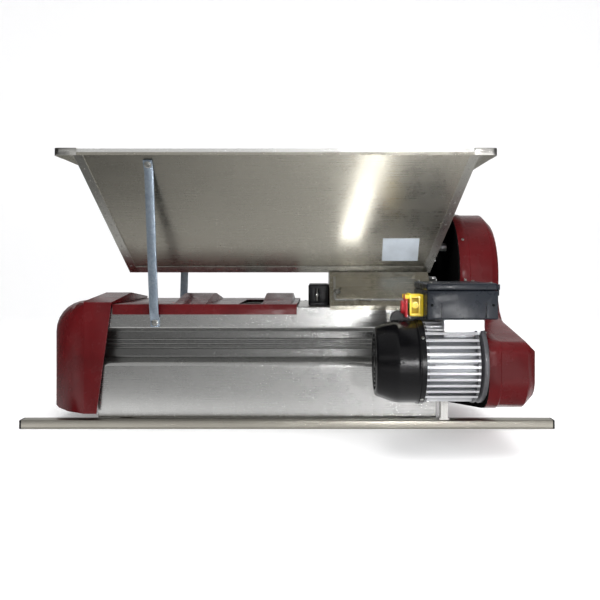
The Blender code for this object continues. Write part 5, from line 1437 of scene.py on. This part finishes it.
makeCoverFasteners()
print("fasteners finished")


# Floor, light and camera

stageLook = {
    "floor": (0.90, 0.90, 0.90, 1),
    "glow": 0.22,
    "reach": 9.0,
    "behind": 3.2,
    "sweep": 1.4,
    "sunk": 0.0002,  # under the feet
    "rough": 0.9,
}


def makeBackdrop(look=stageLook):
    # A floor that runs back and curves up into a wall: a profile of a line, a quarter circle and a line
    turn = np.linspace(0, np.pi / 2, 24)
    reach, behind, sweep = look["reach"], look["behind"], look["sweep"]
    y = np.concatenate([[-reach], behind + sweep * np.sin(turn), [behind + sweep]])
    z = np.concatenate([[0.0], sweep * (1 - np.cos(turn)), [reach]]) - look["sunk"]
    points = np.stack(np.broadcast_arrays(np.array([-reach, reach]), y[:, None], z[:, None]), -1)
    index = np.arange(len(y) * 2).reshape(-1, 2)
    faces = np.stack([index[:-1, 0], index[:-1, 1], index[1:, 1], index[1:, 0]], -1)
    mesh = bpy.data.meshes.new("backdrop")
    mesh.from_pydata(points.reshape(-1, 3).tolist(), [], faces.tolist())
    mesh.shade_smooth()
    backdrop = bpy.data.objects.new("backdrop", mesh)
    bpy.context.scene.collection.objects.link(backdrop)
    material, tree, shader = newMaterial("paleBackdrop")
    shader.inputs["Base Color"].default_value = look["floor"]
    shader.inputs["Roughness"].default_value = look["rough"]
    shader.inputs["Emission Color"].default_value = (1, 1, 1, 1)
    shader.inputs["Emission Strength"].default_value = look["glow"]
    mesh.materials.append(material)
    backdrop.visible_glossy = False


roomLook = {
    "even": (0.80, 0.80, 0.81, 1),
    "plain": (1.15, 1.15, 1.15, 1),  # what the camera sees past the wall
    "left": 0.10,  # what mirrors see straight ahead, from left to right
    "right": 0.62,
    "above": 0.60,
    "behind": 0.80,
    "aside": 0.18,  # share of it left far to either side
    "below": 0.75,
    "strength": 0.85,
    # Where each turns from none to all, along the way that a mirror looks
    "aheadOver": (-0.40, 0.15),
    "aboveOver": (0.15, 0.65),
    "behindOver": (0.25, 0.80),
    "asideOver": (0.35, 0.65),
    "belowOver": (-0.16, -0.34),
}


def makeWorld(look=roomLook):
    # Even pale light. Mirrors see a room that is dim on the left, brighter on the right, pale above, below
    # and behind, and dim far to either side
    world = bpy.data.worlds.new("softRoom")
    bpy.context.scene.world = world
    world.use_nodes = True
    tree = world.node_tree
    looked = addNode(tree, "ShaderNodeTexCoord").outputs["Generated"]
    way = addNode(tree, "ShaderNodeSeparateXYZ", {0: looked})
    ahead = mapRange(tree, way.outputs["X"], *look["aheadOver"], look["left"], look["right"])
    upward = mapRange(tree, way.outputs["Z"], *look["aboveOver"], 0.0, look["above"])
    behind = mapRange(tree, way.outputs["Y"], *look["behindOver"], 0.0, look["behind"])
    aside = mapRange(tree, mathOf(tree, "ABSOLUTE", way.outputs["X"]), *look["asideOver"], 1.0, look["aside"])
    below = mapRange(tree, way.outputs["Z"], *look["belowOver"], 0.0, look["below"])
    bright = mathOf(tree, "MAXIMUM", ahead, mathOf(tree, "MAXIMUM", upward, behind))
    bright = mathOf(tree, "MAXIMUM", mathOf(tree, "MULTIPLY", bright, aside), below)
    seen = mixColour(tree, bright, (0, 0, 0, 1), (1, 1, 1, 1))
    ray = addNode(tree, "ShaderNodeLightPath").outputs
    background = tree.nodes["Background"]
    lit = mixColour(tree, ray["Is Glossy Ray"], look["even"], seen)
    tree.links.new(mixColour(tree, ray["Is Camera Ray"], lit, look["plain"]), background.inputs["Color"])
    background.inputs["Strength"].default_value = look["strength"]


def addLight(name, place, target, size, power):
    # A softbox that mirrors don't see
    light = bpy.data.lights.new(name, "AREA")
    light.shape = "RECTANGLE"
    light.size, light.size_y = size
    light.energy = power
    lamp = bpy.data.objects.new(name, light)
    lamp.location = place
    lamp.rotation_euler = (Vector(target) - Vector(place)).to_track_quat("-Z", "Y").to_euler()
    lamp.visible_glossy = False
    bpy.context.scene.collection.objects.link(lamp)


cameraLook = {
    "place": (0.0695, -1.632, 0.366),  # y is from the machine's middle
    "lens": 39.36,
    "shift": (-0.030, -0.057),
    "sensor": 36.0,
    "nearest": 0.05,
}


def makeCamera(look=cameraLook):
    camera = bpy.data.cameras.new("camera")
    camera.sensor_width = look["sensor"]
    camera.lens = look["lens"]
    camera.shift_x, camera.shift_y = look["shift"]
    camera.clip_start = look["nearest"]
    eye = bpy.data.objects.new("camera", camera)
    x, y, z = look["place"]
    eye.location = (x, y + midY, z)
    eye.rotation_euler = (math.pi / 2, 0, 0)
    bpy.context.scene.collection.objects.link(eye)
    bpy.context.scene.camera = eye


def addCard(name, corners, tones, strength):
    # A panel that only mirrors see from its front, with a run of tones at places along X
    mesh = bpy.data.meshes.new(name)
    mesh.from_pydata(corners, [], [(0, 1, 2, 3)])
    card = bpy.data.objects.new(name, mesh)
    bpy.context.scene.collection.objects.link(card)
    material, tree, shader = newMaterial(name)
    low, high = tones[0][0], tones[-1][0]
    place = addNode(tree, "ShaderNodeSeparateXYZ", {0: objectCoords(tree)}).outputs["X"]
    ramp = addNode(tree, "ShaderNodeValToRGB", {"Fac": mapRange(tree, place, low, high, 0.0, 1.0)})
    elements = ramp.color_ramp.elements
    elements[0].color = (tones[0][1],) * 3 + (1,)
    elements[1].color = (tones[-1][1],) * 3 + (1,)
    for spot, tone in tones[1:-1]:
        elements.new((spot - low) / (high - low)).color = (tone, tone, tone, 1)
    tree.links.new(ramp.outputs["Color"], shader.inputs["Emission Color"])
    shader.inputs["Base Color"].default_value = (0, 0, 0, 1)
    shader.inputs["Specular IOR Level"].default_value = 0.0
    front = mathOf(tree, "SUBTRACT", 1.0, addNode(tree, "ShaderNodeNewGeometry").outputs["Backfacing"])
    tree.links.new(mathOf(tree, "MULTIPLY", front, strength), shader.inputs["Emission Strength"])
    mesh.materials.append(material)
    card.visible_camera = card.visible_diffuse = card.visible_shadow = False


def flatCard(near, far, half=3.0, height=0.003):
    return [(-half, near, height), (half, near, height), (half, far, height), (-half, far, height)]


def uprightCard(left, right, y, low, high):
    return [(right, y, low), (left, y, low), (left, y, high), (right, y, high)]


# Places from the machine's left to its right, with the tone at each
cardTones = {
    "floor": [
        (-3.0, 0.10), (-1.25, 0.12), (-0.60, 0.22), (-0.28, 0.36), (0.02, 0.58), (0.22, 1.25), (3.0, 1.25),
    ],
    "far": [
        (-3.0, 0.07), (-0.60, 0.08), (-0.20, 0.27), (0.10, 0.37), (0.30, 0.50), (0.48, 0.28), (3.0, 0.28),
    ],
    "near": [
        (-3.0, 0.26), (-0.60, 0.28), (-0.20, 0.32), (0.10, 0.42), (0.25, 0.60), (0.45, 0.24), (3.0, 0.24),
    ],
    "foot": [(-3.0, 0.95), (-0.6, 0.85), (0.0, 0.65), (0.4, 0.85), (0.6, 1.0), (3.0, 1.0)],
    "plain": [(-3.0, 1.0), (3.0, 1.0)],
    "window": [(-0.3, 0.5), (1.4, 1.0)],
    "wall": [(-4.0, 0.8), (4.0, 1.0)],
}
gleam = [(0.226, -0.44, 0.336), (0.286, -0.44, 0.336), (0.172, -0.08, 0.336), (0.120, -0.08, 0.336)]
cards = {
    # The floor in strips, the nearest last, then what lies over and in front of the machine
    "floorMirror": (flatCard(-7.0, -0.75), "floor", 1.5),
    "farMirror": (flatCard(-0.75, -0.40), "far", 1.5),
    "nearMirror": (flatCard(-0.40, -0.20), "near", 1.5),
    "footMirror": (flatCard(-0.20, -0.08), "foot", 1.5),
    "hopperGleam": (gleam, "plain", 4.6),
    "windowStrip": (uprightCard(-0.3, 1.4, -4.0, 0.38, 0.58), "window", 5.0),
    "spotWindow": (uprightCard(0.43, 0.54, -2.2 + midY, 0.12, 0.44), "plain", 70.0),
    "upperWall": (uprightCard(-4.0, 4.0, -4.2, 1.05, 2.2), "wall", 0.9),
}

makeBackdrop()
makeWorld()
for name, (corners, tones, strength) in cards.items():
    addCard(name, corners, cardTones[tones], strength)
addLight("overheadSoftbox", (0.2, -0.3, 2.4), (0, 0.1, 0.3), (2.6, 1.8), 46)
addLight("frontRightSoftbox", (1.5, -2.2, 1.1), (0.1, 0, 0.3), (1.4, 1.4), 34)
addLight("frontLeftFill", (-2.0, -2.0, 0.9), (0, 0, 0.3), (1.2, 1.2), 10)
makeCamera()
bpy.context.scene.view_settings.view_transform = "Standard"

print("scene ready")
